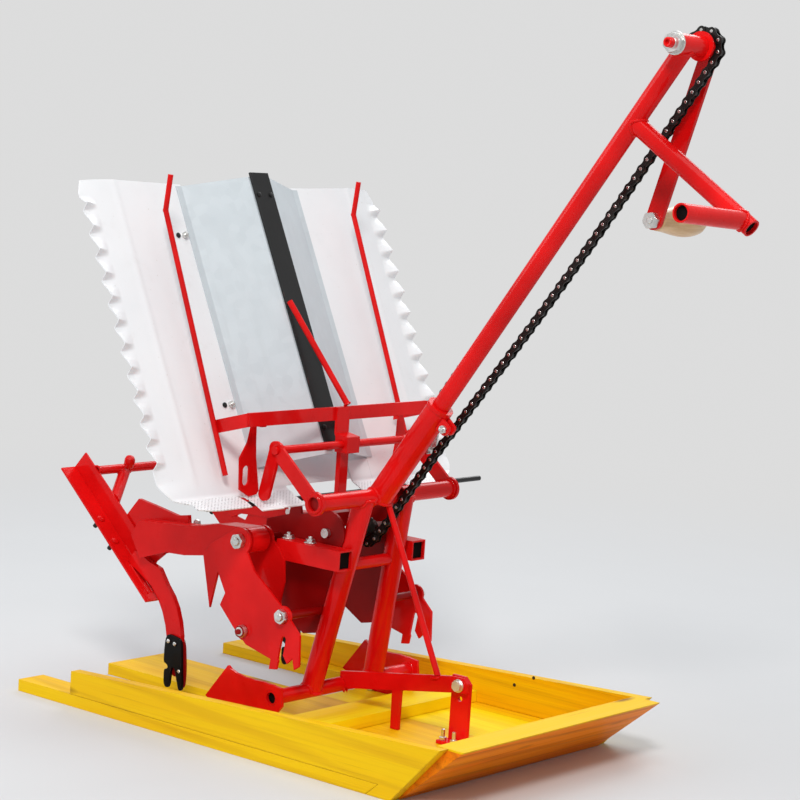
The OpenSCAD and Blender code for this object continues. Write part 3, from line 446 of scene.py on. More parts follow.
def paint(name, colour, coat=0.27, rough=0.30, specular=0.04):
    """Sprayed gloss paint: orange peel, slow shifts of shade, dull patches and rubbed edges."""
    f = Finish(name)
    slow = f.noise(7, 3, 0.6)
    fine = f.noise(60, 4, 0.6)
    peel = f.noise(420, 2, 0.5)
    worn, bent = f.edges(0.0012)
    light = tuple(min(1, c * 1.12 + 0.004) for c in colour)
    base = f.mix(f.remap(slow, 0.3, 0.7), shade(colour, 0.72), light)
    speck = f.remap(f.noise(1100, 1, 0.5), 0.74, 0.80, 0, 0.3)
    base = f.mix(speck * f.remap(slow, 0.45, 0.65), base, shade(colour, 0.45))
    base = f.mix(worn * f.remap(fine, 0.56, 0.66), base, (0.20, 0.035, 0.025))
    roughness = f.remap(fine, 0.3, 0.7, rough - 0.06, rough + 0.10)
    return f.finish(base, roughness, bump=peel * 0.6 + fine * 1.2, bump_size=0.00022, strength=0.55,
                    coat=coat, coat_rough=0.07, normal=bent, specular=specular)


def wood(name, along, light, dark, deep, coat=0.07, fibre=1, top=None):
    """Varnished board: long grain bands from a pith far to one side, fibres, pores and knots.
    The band value is the sine of the stretched noise plus the distance across the grain.
    top is a height above which the stain covers better, and its colour there."""
    f = Finish(name)

    def grain(on_x, on_y, on_z):
        return f.stretched((on_x, on_y, on_z) if along == "x" else (on_y, on_x, on_z))

    sway = f.noise(2.2, 3, 0.55, at=grain(1, 13, 17))
    band = f.node("TexWave", {
        "Vector": grain(0.55, 7.15, 9.35), "Scale": 1.6, "Distortion": 7.5, "Detail": 3,
        "Detail Scale": 0.9, "Detail Roughness": 0.6}, bands_direction="DIAGONAL")
    fibres = f.noise(1, 3, 0.6, at=grain(3, 260, 260))
    pores = f.noise(1, 1, 0.4, at=grain(6.6, 572, 572))
    knots = f.node("TexVoronoi", {"Vector": grain(3.2, 11, 13), "Scale": 1})
    knot = f.remap(knots, 0.10, 0.03)
    base = f.mix(f.remap(sway, 0.32, 0.68), light, dark)
    base = f.mix(f.remap(band, 0.74, 1, 0, 0.24 * fibre), base, deep)
    base = f.mix(f.remap(fibres, 0.52, 0.80, 0, 0.36 * fibre), base, deep)
    if top:
        base = f.mix(f.remap(f.axis(2) + sway * 0.0012, top[0], top[0] + 0.0010, 0, 0.92), base, top[1])
    base = f.mix(f.remap(pores, 0.66, 0.80, 0, 0.35 * fibre), base, shade(deep, 0.45))
    base = f.mix(knot * 0.75, base, shade(deep, 0.40))
    worn, bent = f.edges(0.0022)
    base = f.mix(worn * f.remap(f.noise(45), 0.52, 0.7, 0, 0.35), base, shade(deep, 0.62))
    height = fibres * 0.9 + band * 0.5 - knot * 0.6
    return f.finish(base, f.remap(fibres, 0.3, 0.7, 0.42, 0.60), bump=height, bump_size=0.0005,
                    strength=0.6, coat=coat, coat_rough=0.2, normal=bent, specular=0.11)


def bare_metal(name, colour, rough, metallic=0.95):
    """Plated or oiled metal: fine scratches and cloudy patches in its roughness."""
    f = Finish(name)
    cloud = f.noise(38, 4, 0.6)
    grit = f.noise(1040, 2, 0.5)
    tone = f.mix(f.remap(cloud, 0.35, 0.65), shade(colour, 0.74), colour)
    roughness = f.remap(cloud, 0.3, 0.7, rough - 0.12, rough + 0.12)
    return f.finish(tone, roughness, metallic=metallic, bump=grit, bump_size=0.00006, strength=0.5,
                    normal=f.edges(0.0006)[1])


def galvanised(name):
    """Zinc-coated sheet: large crystals that differ a little in shade and roughness."""
    f = Finish(name)
    spangle = f.node("TexVoronoi", {"Vector": f.where, "Scale": 70}, output="Color")
    tint = f.node("SeparateColor", {0: spangle})
    base = f.mix(tint, (0.585, 0.645, 0.680), (0.625, 0.685, 0.72))
    base = f.mix(f.remap(f.noise(5, 4, 0.6), 0.35, 0.7, 0, 0.6), base, (0.66, 0.715, 0.745))
    streak = f.noise(1, 3, 0.6, at=f.stretched((6, 90, 6)))
    base = f.mix(f.remap(streak, 0.55, 0.8, 0, 0.18), base, (0.50, 0.54, 0.56))
    return f.finish(base, f.remap(tint, 0, 1, 0.42, 0.50), metallic=0.30,
                    bump=f.noise(9, 2, 0.5) * 3 + tint * 0.02, bump_size=0.0012, strength=0.4)


def tray_white(name):
    """Thin white-painted sheet, a little dusty in patches, with soft dents. The pressed dots
    of the lip are two crossed sine waves, only at the heights of the lip."""
    f = Finish(name)
    dust = f.noise(24, 5, 0.7)
    base = f.mix(f.remap(f.noise(6, 4, 0.62), 0.35, 0.7), (0.89, 0.90, 0.915), (0.84, 0.855, 0.875))
    base = f.mix(f.remap(dust, 0.60, 0.80, 0, 0.26), base, (0.66, 0.645, 0.61))
    base = f.mix(f.remap(f.noise(260, 1, 0.4), 0.76, 0.80, 0, 0.3), base, (0.42, 0.36, 0.28))
    waves = [f.node("Math", {0: f.axis(k) * (pi * 2 / length)}, operation="SINE")
             for k, length in ((0, 0.0062), (1, 0.0068))]
    z = f.axis(2)
    lip = f.remap(z, 0.3530, 0.3515) * f.remap(z, 0.3375, 0.3385)
    base = f.mix(f.remap(waves[0] * waves[1], 0.30, 0.62, 0, 0.62) * lip, base, (0.30, 0.30, 0.31))
    return f.finish(base, f.remap(dust, 0.3, 0.7, 0.30, 0.44),
                    bump=f.noise(8, 2, 0.5) * 4 + f.noise(300, 2, 0.5) * 0.05,
                    bump_size=0.0016, strength=0.35, coat=0.15, coat_rough=0.3)


def turned_wood(name):
    """Turned grip of pale wood: grain along its length, faint tool rings and a waxed shine."""
    f = Finish(name)
    grain = f.noise(1, 4, 0.6, at=f.stretched((120, 6, 120)))
    rings = f.node("TexWave", {"Vector": f.where, "Scale": 120, "Distortion": 0.6, "Detail": 1},
                   bands_direction="Y")
    base = f.mix(f.remap(grain, 0.35, 0.7), (0.80, 0.54, 0.28), (0.56, 0.32, 0.13))
    base = f.mix(f.remap(f.noise(30, 4, 0.6), 0.5, 0.75, 0, 0.45), base, (0.86, 0.66, 0.40))
    base = f.mix(rings * 0.10, base, (0.30, 0.16, 0.07))
    return f.finish(base, f.remap(grain, 0.3, 0.7, 0.30, 0.46), bump=grain * 0.6 + rings * 0.25,
                    bump_size=0.0003, strength=0.5, coat=0.3, coat_rough=0.2)


# The materials that the finishes operator makes, by short name
FINISHES = {}

# The backdrop's colour and strength, for the floor's far part and the world
WHITE, BACKDROP = (1, 1, 1, 1), 0.72


# Values that a user may change

def tint_property(name, description, default):
    """A colour with its red, green and blue from 0 to 1."""
    return FloatVectorProperty(name=name, description=description, subtype="COLOR", size=3, min=0, max=1,
                               default=default)


class TransplanterColours(bpy.types.PropertyGroup):
    """Colours of the paint, the stain and the floor"""
    red: tint_property("Red paint", "Colour of the steel frame's paint", (0.76, 0.0030, 0.0032))
    yellow: tint_property("Yellow stain", "Colour of the float's boards", (0.94, 0.605, 0.002))
    floor: tint_property("Studio floor", "Colour of the floor and backdrop", (0.66, 0.665, 0.67))


class TransplanterSizes(bpy.types.PropertyGroup):
    """Sizes of the weld beads and the pleats"""
    weld: FloatProperty(name="Weld bead", description="Radius of a weld bead", unit="LENGTH",
                        default=0.0024, min=0.001, max=0.005)
    pleat: FloatProperty(name="Pleat depth", description="Depth of the pleats at the trays' outer edges",
                         unit="LENGTH", default=0.0125, min=0.008, max=0.022)
    pleats: IntProperty(name="Pleats", description="Number of pleats along a tray",
                        default=11, min=9, max=13)


class TRANSPLANTER_OT_finishes(bpy.types.Operator):
    """Makes every finish and gives it to the solids that keep their own shape"""
    bl_idname = "transplanter.finishes"
    bl_label = "Finishes"

    def execute(self, context):
        colours = context.scene.transplanter_colours
        red, yellow = tuple(colours.red), tuple(colours.yellow)
        shaded = tuple(c * k for c, k in zip(yellow, (0.95, 0.84, 0.8)))
        # painted light: the deck boards and cross batten take a brighter yellow than the side boards' stain,
        # standing in for the light on their upward faces
        deck = (1, 0.80, 0.006), (0.98, 0.70, 0.004), (0.66, 0.33, 0.004)
        bow = (1, 0.300, 0.003), (0.96, 0.225, 0.002), (0.38, 0.070, 0.001)
        bow_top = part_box("bow_board")[1][2] - 0.0022
        FINISHES.update({
            "red": paint("red_paint", red),
            # painted shade: a darker copy of the red paint, for the parts that lie in shade between and
            # behind the plates
            "painted_shade_red": paint("painted_shade_red_paint", shade(red, 0.40), coat=0.05, rough=0.36, specular=0.10),
            "black": paint("black_paint", (0.0045, 0.0045, 0.005), coat=0.10, rough=0.36, specular=0.28),
            "claw": paint("black_claw_paint", (0.0035, 0.0035, 0.004), coat=0.04, rough=0.40, specular=0.08),
            # painted shade: near-black paint for the plugs set inside open tube ends
            "painted_shade_black": paint("black_painted_shade_inside", (0.003, 0.002, 0.002), coat=0, rough=0.7, specular=0.05),
            "board_x": wood("yellow_board_along", "x", yellow, shaded, (0.52, 0.235, 0.004)),
            "deck_x": wood("yellow_deck_along", "x", *deck, fibre=0.7),
            "deck_y": wood("yellow_deck_across", "y", *deck, fibre=0.7),
            "bow": wood("bow_board_wood", "y", *bow, coat=0.02, fibre=1.4, top=(bow_top, yellow)),
            "zinc": bare_metal("zinc_plate", (0.74, 0.74, 0.72), 0.30),
            "chain": bare_metal("oiled_chain", (0.022, 0.021, 0.020), 0.34, metallic=0.6),
            "pin": bare_metal("polished_pin", (0.62, 0.61, 0.59), 0.24),
            "sprocket": bare_metal("sprocket_steel", (0.07, 0.066, 0.062), 0.40, metallic=0.85),
            "galvanised": galvanised("galvanised_sheet"),
            "tray": tray_white("tray_sheet"),
            "grip": turned_wood("grip_wood_turned"),
            "nail": bare_metal("nail_iron", (0.07, 0.06, 0.055), 0.5, metallic=0.8),
        })
        own = {
            "board_x": "sole_planks side_boards", "deck_x": "floor_boards", "deck_y": "cross_batten",
            "bow": "bow_board", "black": "lip_rail centre_strip claws", "sprocket": "lower_sprocket",
            "zinc": "chain_tensioner crank_axle grip_bolt drive_shaft", "galvanised": "inner_walls",
            # the feed case, side plates and plate pins take the darker red of painted shade
            "grip": "crank_grip", "painted_shade_red": "feed_case side_plates plate_pins", "chain": "drive_chain",
            "tray": "tray_left tray_right tray_sill",
        }
        given = {node: finish for finish, nodes in own.items() for node in nodes.split()}
        for name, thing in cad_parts.items():
            thing.data.materials.clear()
            thing.data.materials.append(FINISHES[given.get(name, "red")])
        return {"FINISHED"}


class TRANSPLANTER_OT_trays(bpy.types.Operator):
    """Lays the two white tray sheets with pressed pleats, a rounded fold and a dimpled lip"""
    bl_idname = "transplanter.trays"
    bl_label = "Tray sheets"

    def execute(self, context):
        sizes = context.scene.transplanter_sizes
        top, bottom, keep = self.surface(sizes.pleats, sizes.pleat * 1000)
        rows, cols = top.shape[:2]
        count = rows * cols
        cell = quads(rows, cols).reshape(rows - 1, cols - 1, 4)[keep]
        faces = np.concatenate([cell, cell[:, ::-1] + count] + self.rims(keep, cols, count))
        for side, node in ((-1, "tray_left"), (1, "tray_right")):
            sheet = Shape().add(np.stack([top, bottom]) * [1, side, 1], faces)
            sheet.object(node + "_sheet", "tray", "trays", "tray_white", node)
        return {"FINISHED"}

    @staticmethod
    def rims(keep, cols, count):
        """Walls between the top and the underside wherever a face that stays has none beside it."""
        wide = np.pad(keep, 1).astype(int)
        walls = []
        for down, right in ((1, 0), (0, 1)):
            r, c = np.nonzero(wide[down:, right:] - wide[:wide.shape[0] - down, :wide.shape[1] - right])
            stays = wide[r + down, c + right] > 0
            a = (r - right) * cols + c - down
            b = a + (cols if right else 1)
            a, b = np.where(stays, a, b), np.where(stays, b, a)
            walls.append(np.stack([a, b, b + count, a + count], -1))
        return walls

    @staticmethod
    def surface(pleats, depth):
        """Height out of the bed is a side flange that falls towards the outer edge, plus pleats:
        a saw-toothed wave of the distance down the slope whose depth grows over the last 24 mm.
        Past the fold the distance turns about a small radius into the drooping lip, and rows of
        dimples are a squared cosine product. The underside lies one sheet below, along the normal.
        The faces that stay are all but those of the gap that is cut across the lip."""
        first, last, lip_len = 38.5, TRAY_LEN - 46, 47
        flange_w, flange_fall, pleat_w = 60, 8, 24
        lip_in, crease, crease_w, corner = 40, 1.2, 6, 8
        steep = 0.75
        pitch = (last - first) / pleats
        low = first + pitch * np.arange(pleats + 1)
        marks = np.concatenate([low - pitch * part for part in (0, 0.25, 0.12, 0.62, 0.85)])
        u = np.unique(np.concatenate([
            np.linspace(-8, 12, 6), marks, marks + 1.2, marks - 1.2,
            np.linspace(last + 4, FOLD_START, 14), np.linspace(FOLD_START, FOLD_END, 9),
            np.linspace(FOLD_END, FOLD_END + lip_len - FOLD_CUT, 38)]))
        shares, steps = (0, 0.285, 0.355, 0.70, 0.832, 1), (26, 6, 30, 9, 15)
        v = np.unique(np.concatenate([
            np.linspace(a, b, n + 1) for a, b, n in zip(shares, shares[1:], steps)]))
        gap_from, gap_to = np.searchsorted(v, shares[1:3])
        keep = np.ones((len(u) - 1, len(v) - 1), bool)
        keep[np.searchsorted(u, FOLD_END + 6):, gap_from:gap_to] = False
        uu, vv = np.meshgrid(u, v, indexing="ij")
        y = TRAY_IN + vv * (TRAY_OUT - TRAY_IN)
        y = y - vv * lip_in * rise(uu, TRAY_LEN - 26, 52) ** 1.7
        bend = TRAY_OUT - flange_w
        flange = -flange_fall * rise(y, bend, flange_w) ** 1.2 * rise(uu, TRAY_LEN - 4, -22)
        phase = ((uu - first) / pitch) % 1
        tooth = np.where(phase < steep, phase / steep, (1 - phase) / (1 - steep))
        tooth = 0.5 - 0.5 * np.cos(pi * tooth) * 0.65 - 0.5 * (1 - 2 * tooth) * 0.35
        inside = rise(uu, first - 0.36 * pitch, 4) * rise(uu, last + 2, -4)
        h = flange + depth * tooth * rise(y, TRAY_OUT - pleat_w, pleat_w) * inside
        h = h + crease * np.exp(-((y - bend + crease_w) / crease_w) ** 2) * rise(uu, FOLD_START, -50)
        rim = rise(uu, 12, -20)
        y = y - corner * rim * rise(vv, 0.80, 0.20) ** 2
        s = uu + 4.5 * rim * rise(y, TRAY_IN + 150, -150)
        over = past_fold(uu) * (1 - 0.26 * rise(vv, 0.30, 0.02) - 0.16 * rise(vv, 0.72, 0.28) ** 2)
        dots = np.cos((over - 4) * pi / 5.6) ** 2 * np.cos((y - TRAY_IN) * pi / 6.2) ** 2
        dots = rise(dots, 0.25, 0.75) * rise(over, 0, 3) * rise(over, 30, -4) * rise(vv, 0.98, -0.06)
        return (*fold_over(uu, s, y, h, over, 0.9 * dots), keep)


class TRANSPLANTER_OT_sill(bpy.types.Operator):
    """Bends the two lip plates that stand on the sill between the trays"""
    bl_idname = "transplanter.sill"
    bl_label = "Sill lips"

    def execute(self, context):
        u = np.concatenate([np.linspace(442, FOLD_START, 6), np.linspace(FOLD_START, FOLD_END, 9)[1:],
                            np.linspace(FOLD_END, FOLD_END + 45 - FOLD_CUT, 12)[1:]])
        shape = Shape()
        for side in (-1, 1):
            uu, yy = np.meshgrid(u, side * np.linspace(74, 121.3, 24), indexing="ij")
            top, low = fold_over(uu, uu, yy, 0.1, past_fold(uu))
            ring = np.concatenate([top, low[:, ::-1]], 1)
            shape.add(ring, quads(*ring.shape[:2], wrap_cols=True))
            for end in (0, -1):
                shape.add(np.stack([top[end], low[end]]), quads(2, top.shape[1]))
        shape.object("sill_lips", "tray", "trays", "tray_white")
        return {"FINISHED"}


class TRANSPLANTER_OT_chain(bpy.types.Operator):
    """Hangs the roller chain: outer and inner link plates, rollers and pins along its loop"""
    bl_idname = "transplanter.chain"
    bl_label = "Roller chain"

    @staticmethod
    def pins():
        """Places of the pins in the chain's plane: a straight run, half a turn, the way back and half
        a turn. The slack side hangs out by a half sine wave beyond the tensioner."""
        straight, half = (LINKS - TEETH) / 2, TEETH / 2
        i = np.arange(LINKS, dtype=float)
        s = i * PITCH
        sag = CHAIN_SAG * np.sin(pi * rise(s, CHAIN_HELD, SPAN - CHAIN_HELD))
        back = i - straight - half
        a, b = ((i - past) * 2 * pi / TEETH for past in (straight, 2 * straight + half))
        parts = [i < straight, i < straight + half, i < 2 * straight + half]
        x = np.select(parts, [s, SPAN + PITCH_R * np.sin(a), SPAN - back * PITCH], -PITCH_R * np.sin(b))
        y = np.select(parts, [-PITCH_R - sag, -PITCH_R * np.cos(a), PITCH_R], PITCH_R * np.cos(b))
        return np.stack([x, y], -1)

    def execute(self, context):
        skew = asin((CHAIN_TOP_Y - CHAIN_LOW_Y) / SPAN)
        along = CHAIN_UP * cos(skew) + Y * sin(skew)
        away = Y * cos(skew) - CHAIN_UP * sin(skew)
        plane = np.array([along, CHAIN_OUT])
        home = AXLE - SPAN * CHAIN_UP + CHAIN_LOW_Y * Y
        pins = self.pins()
        run = unit(np.roll(pins, -1, 0) - pins)
        normal = np.stack([-run[:, 1], run[:, 0]], -1)
        plates, rollers, ends = Shape(), Shape(), Shape()
        # half width of a plate: a circle's arc round each pin, and a lower waist between them
        r, waist = 5.8, 4.2
        quarter = np.linspace(0, 0.5 * pi, 8)
        u = np.concatenate([-r * np.cos(quarter), np.linspace(0.10, 0.90, 9) * PITCH,
                            PITCH + r * np.sin(quarter)])
        bow = np.sqrt(np.clip(r * r - np.maximum(-u, u - PITCH).clip(0) ** 2, 0, None))
        half = bow - (r - waist) * np.sin(pi * rise(u, 0, PITCH)) ** 2
        edge = np.array([[-1, 0], [1, 0], [1, 1], [-1, 1]], float)
        plate_t = 1.1
        for parity, gap in ((0, 3.1), (1, 4.3)):
            p, q, m = (v[parity::2, None, None] for v in (pins, run, normal))
            flat = p + q * u[:, None, None] + m * (half[:, None] * edge[:, 0])[..., None]
            for sign in (-1, 1):
                plates.copies(home + flat @ plane + sign * (gap + plate_t * edge[:, 1:]) * away)
        t = turns(14)[:, None]
        ring = np.cos(t) * along + np.sin(t) * CHAIN_OUT
        at = home + pins @ plane
        for shape, width, radius, ease in ((rollers, 3, 5, (0.1, 0.4)), (ends, 6.2, 2.4, (0.5, 0.4))):
            side = [(0, width), (radius - ease[0], width), (radius, width - ease[1])]
            profile = np.array([(a, -b) for a, b in side] + side[::-1])[..., None, None]
            shape.copies(at[:, None, None] + profile[:, 0] * ring + profile[:, 1] * away)
        plates.object("chain_plates", "chain", "frame", "chain_steel", "drive_chain", smooth=False)
        rollers.object("chain_rollers", "chain", "frame", "chain_steel")
        ends.object("chain_pins", "pin", "frame", "chain_steel")
        return {"FINISHED"}


class TRANSPLANTER_OT_fasteners(bpy.types.Operator):
    """Sets the bolts, nuts, washers and rivets on every body"""
    bl_idname = "transplanter.fasteners"
    bl_label = "Fasteners"

    def execute(self, context):
        zinc = {body: Shape() for body in ("frame", "crank", "trays", "planting_arms")}
        dark = {body: Shape() for body in ("trays", "planting_arms")}
        self.on_frame(zinc["frame"])
        self.on_crank(zinc["crank"])
        self.on_arms(zinc["planting_arms"], dark["planting_arms"])
        self.on_trays(zinc["trays"], dark["trays"])
        for body, shape in zinc.items():
            shape.object("fasteners_" + body, "zinc", body, "zinc")
        for body, shape in dark.items():
            shape.object("dark_fasteners_" + body, "black", body, "black_steel")
        self.nails()
        return {"FINISHED"}

    @staticmethod
    def on_frame(zinc):
        """Nuts, studs and screws of the side plates, bars, hooked plates, post and sleeve"""
        for s in (-1, 1):
            # nuts over the arm pivots and the lower pins, and the round studs of the outer plates
            for (x, z), across, height, turn, past, end in (
                    (PIVOT, 20.5, 8.6, 0.3, 7.5, 3.8), ((-1, 185), 19, 7.6, 0.8, 6.8, 4)):
                zinc.hexagon((x, s * PLATE_FACE, z), s * Y, across, height, 6.1, turn)
                zinc.thread((x, s * (PLATE_FACE + past), z), s * Y, 6.2, end, 1.7)
            stud = [(7, 0), (9.2, 0.8), (9.2, 6), (8, 8.6), (4.6, 9.6)]
            zinc.lathe((-76, s * PLATE_FACE, 150), s * Y, stud)
            for x, turn in ((-60, 0.2), (-18, 0.5)):
                zinc.hexagon((x, s * BAR_Y, 283.1), Z, 13, 5.6, turn=turn)
                zinc.washer((x, s * BAR_Y, 283.1), Z, 9.5, 4, 1.4)
                zinc.lathe((x, s * BAR_Y, 288), Z, [(3.2, 0), (3.2, 4), (2.2, 4.8)], 16)
            # screws that hold the hooked plates to the floor
            for x in (-78, -30):
                zinc.hexagon((x, s * 149, 18.5), Z, 10, 4.2, turn=0.4)
        # the draw bar's bolt through the front post and the post's foot screws
        zinc.hexagon((212, -6.1, 106), -Y, 14.5, 6, turn=0.15)
        zinc.washer((212, -6, 106), -Y, 9.8, 4, 1.6)
        zinc.hexagon((212, 6.1, 106), Y, 16.5, 6.8, turn=0.5)
        zinc.thread((212, 12.5, 106), Y, 4.3, 6, 1.4)
        for x, y in ((193, -9), (214, -10)):
            zinc.hexagon((x, y, 23.4), Z, 10, 4.4, turn=0.3)
            zinc.lathe((x, y, 27), Z, [(2.9, 0), (2.9, 12), (2, 12.6)], 14)
        # the sleeve's clamp bolt and the far end of the lower cross tube
        zinc.hexagon(CLAMP + 30 * CLAMP_OUT - 9.5 * Y, -Y, 11, 5, turn=0.2)
        zinc.lathe(CLAMP + 30 * CLAMP_OUT - 14.5 * Y, -Y, [(3, 0), (3, 4), (2, 4.6)], 14)
        zinc.hexagon((-10, 157.3, 64), Y, 19, 5, turn=0.1)

    @staticmethod
    def on_crank(zinc):
        """The axle's near end with its washer, nut and tip, and the nut behind the crank arm's foot"""
        end = AXLE - 15 * Y
        zinc.washer(end - 0.1 * Y, -Y, 16, 7.8, 2.2)
        zinc.hexagon(end - 2.3 * Y, -Y, 24.2, 8.6, 7, 0.25)
        zinc.hexagon(GRIP + (CRANK_Y - 0.2) * Y, -Y, 21.2, 8.8, 4.6, 0.35)
        zinc.thread(GRIP + (CRANK_Y - 8) * Y, -Y, 4.7, 2.2, 1.5)
        tip = [(6.8, 0), (7, 1.8), (6.6, 9.4), (5.2, 10.4), (3.4, 10), (3, 6.2)]
        Shape().lathe(end - 10 * Y, -Y, tip).object("crank_shaft_tip", "red", "crank", "red_steel")

    @staticmethod
    def on_arms(zinc, dark):
        """Bolts of the links and claws, and the bolts through the angle irons"""
        heads = Shape()
        for s in (-1, 1):
            for x, z in ((-347, 285), (-280, 284), (-229, 281)):
                zinc.hexagon((x, s * 104.9, z), -s * Y, 10.5, 4.6, turn=x * 0.04)
            for x, z in ((-243.5, 101), (-230, 99)):
                zinc.lathe((x, s * 134.4, z), s * Y, [(3, 0), (3.4, 0.4), (3, 1.8), (1.4, 2.6)], 20)
                zinc.hexagon((x, s * 120.8, z), -s * Y, 10, 4.2, turn=0.4)
            zinc.lathe((-219, s * 134.4, 59), s * Y, [(2.6, 0), (2.8, 0.4), (2, 1.4)], 16)
            # black bolt ends behind the angles and their red heads in front
            for d in (105, 150):
                at = arm_place(d, s * ARM_Y, -0.2)
                dark.hexagon(at, -ARM_OUT, 12.5, 5.5, turn=0.2)
                dark.lathe(at - 5 * ARM_OUT, -ARM_OUT, [(3.6, 0), (3.6, 11), (2.6, 11.8)], 14)
                heads.lathe(arm_place(d, s * ARM_Y, 3.1), ARM_OUT,
                            [(6.8, 0), (6.4, 1.6), (4, 3.2), (1, 3.7)], 20)
        heads.object("arm_bolt_heads", "red", "planting_arms", "red_steel")

    @staticmethod
    def on_trays(zinc, dark):
        """Clips on the near tray wall's foot, and the bolts of the strip between the walls"""
        for d in (78, 342):
            at = tray_place(d, -143, SHEET + 0.1)
            zinc.hexagon(at, TRAY_NORMAL, 9.5, 4.2, turn=0.4)
            zinc.lathe(at + 3.5 * TRAY_NORMAL, TRAY_NORMAL, [(2.4, 0), (2.4, 4), (1.5, 4.6)], 14)
            dark.lathe(tray_place(d, -156, SHEET + 0.1), TRAY_NORMAL, [(4, 0), (4, 1.6), (3, 2.2)], 16)
        for y in (-13, 13):
            for d in (30, 400):
                dark.lathe(tray_place(d, y, WALL_RISE + 5), TRAY_NORMAL,
                           [(4, 0), (3.6, 1.4), (1.6, 2.2)], 18)

    @staticmethod
    def nails():
        """Two nail heads in the far side board and four near the cross batten's ends"""
        nails = Shape()
        for x, z in ((138, 59), (173, 77)):
            nails.lathe((x, 231.9, z), -Y, [(2.8, 0), (2.7, 0.4), (1.2, 0.7)], 16)
        for y in (-195, 195):
            for x in (20, 52):
                nails.lathe((x, y, 36.4), Z, [(4, 0), (3.8, 0.3), (1.5, 0.6)], 14)
        nails.object("nail_heads", "nail", "frame", "chain_steel")


class TRANSPLANTER_OT_welds(bpy.types.Operator):
    """Runs weld beads along the seams between tubes and plates"""
    bl_idname = "transplanter.welds"
    bl_label = "Weld beads"

    def execute(self, context):
        r = context.scene.transplanter_sizes.weld * 1000
        frame_seams, arm_seams, tray_seams = Shape(), Shape(), Shape()
        frame_seams.bead(saddle(MAST_HEAD, -MAST_DIR, 13, AXLE, Y, 13.7), r)
        frame_seams.bead(saddle(HANDLE_START, HANDLE, 12.5, MAST_FOOT, MAST_DIR, 13.2), r)
        frame_seams.bead(saddle(HOLD_AT, HOLD, 12.5, HANDLE_START, HANDLE, 12.7), r)
        tie = HIGH_TUBE + 0.346 * (LOW_TUBE - HIGH_TUBE)
        for s in (-1, 1):
            top, foot = HIGH_TUBE + s * 45 * Y, LOW_TUBE + s * 70 * Y
            frame_seams.bead(saddle(top, foot - top, 15.5, HIGH_TUBE, Y, 12.7), r)
            frame_seams.bead(saddle(foot, top - foot, 15.5, LOW_TUBE, Y, 11.2), r)
            frame_seams.bead(saddle(tie, s * Y, 9, top, foot - top, 16), r * 0.8)
            for x, y, z, radius, share in ((48, 149.7, 356, 12.7, 0.8), (48, 155.3, 356, 12.7, 0.8),
                                           (-10, 151.8, 64, 11.3, 0.8), (-30, 149.7, 422, 6.2, 0.6)):
                frame_seams.bead(circle_path((x, s * y, z), Y, radius), r * share)
        frame_seams.bead(saddle(MAST_FOOT, MAST_DIR, 19, HIGH_TUBE, Y, 12.7), r)
        # the draw bar on the lower tube, and the brace rod on the draw bar
        for (x, z), (x2, z2), sides, share in (((-6, 76), (0.5, 52), (-6.2, 0.2), 0.8),
                                               ((160, 107.5), (178, 110.5), (-6.5, 0.3), 1)):
            for y in sides:
                frame_seams.bead(line_path((x, y, z), (x2, y, z2)), r * share, closed=False)
        frame_seams.object("frame_welds", "red", "frame", "red_steel")
        for s in (-1, 1):
            arm_seams.bead(circle_path((-443, s * 111.3, 331), Y, 7.2), r * 0.7)
            strut = saddle((-441, s * 54, 325), (45, s * 60, -36), 8.8, (-443, 0, 331), Y, 7.4, closed=False)
            arm_seams.bead(strut, r * 0.7, closed=False)
            for first, last, y, count, share in (
                    (160, 262, 115.2, 110, 0.6), (196, 256, 120.6, 70, 0.7), (196, 256, 129.4, 70, 0.7)):
                seam = arm_place(np.linspace(first, last, count), s * y, 3.4)
                arm_seams.bead(seam, r * share, closed=False)
        arm_seams.object("arm_welds", "red", "planting_arms", "red_steel")
        tray_seams.bead(circle_path((-47, 14, 479), (-0.556, -0.18, 0.812), 4.6, 30), r * 0.6)
        for y in (-200, 200):
            tray_seams.bead(line_path((-44.6, y, 457), (-44.6, y, 475)), r * 0.5, closed=False)
        tray_seams.object("tray_welds", "red", "trays", "red_steel")
        return {"FINISHED"}


class TRANSPLANTER_OT_trim(bpy.types.Operator):
    """Adds the sleeve's clamp tabs, dark plugs of painted shade inside the open tubes, and the arm tube's
    knob
    """
    bl_idname = "transplanter.trim"
    bl_label = "Trim"

    def execute(self, context):
        tabs = Shape()
        tab = [(18, -10), (35, -8), (38, -4), (38, 4), (35, 8), (18, 10)]
        for y in (-9.5, 3.5):
            tabs.plate(tab, CLAMP + y * Y, CLAMP_OUT, MAST_DIR, Y, 5)
        tabs.object("sleeve_clamp", "red", "frame", "red_steel")
        # painted shade: dark discs and square plugs just inside the open tube ends stand in for the shade in
        # their bores; black in the handle, hold bar, lower tube and bar ends, the darker red in the upper
        # cross tube's ends
        dark, red = Shape(), Shape()
        for shape, at, inward, radius in (
                (dark, HOLD_AT + HOLD, -HOLD, 9.9), (dark, HANDLE_END, -HANDLE, 9.9),
                (red, HIGH_TUBE - 157 * Y, Y, 9.9), (red, HIGH_TUBE + 157 * Y, -Y, 9.9),
                (dark, LOW_TUBE - 157 * Y, Y, 8.4)):
            shape.lathe(at + 5 * unit(inward), inward, [(radius, 0), (radius, 1)], 28)
        red.object("cross_tube_painted_shade_plugs", "painted_shade_red", "frame", "red_steel")
        bore = 12.2
        square = [(-bore, -bore), (bore, -bore), (bore, bore), (-bore, bore)]
        for y in (-BAR_Y, BAR_Y):
            for x in (-66, 46.5):
                dark.plate(square, (x, y, 268), Y, Z, X, 1, ease=0.2)
        dark.object("tube_painted_shade_plugs", "painted_shade_black", "frame", "black_steel")
        knob = [(7, -12), (8.4, -9), (8.4, 1), (6.6, 5), (2.5, 7)]
        Shape().lathe((-424, -60, 347), (0.35, -0.2, 0.9), knob, 24).object(
            "arm_tube_knob", "red", "planting_arms", "red_steel")
        return {"FINISHED"}


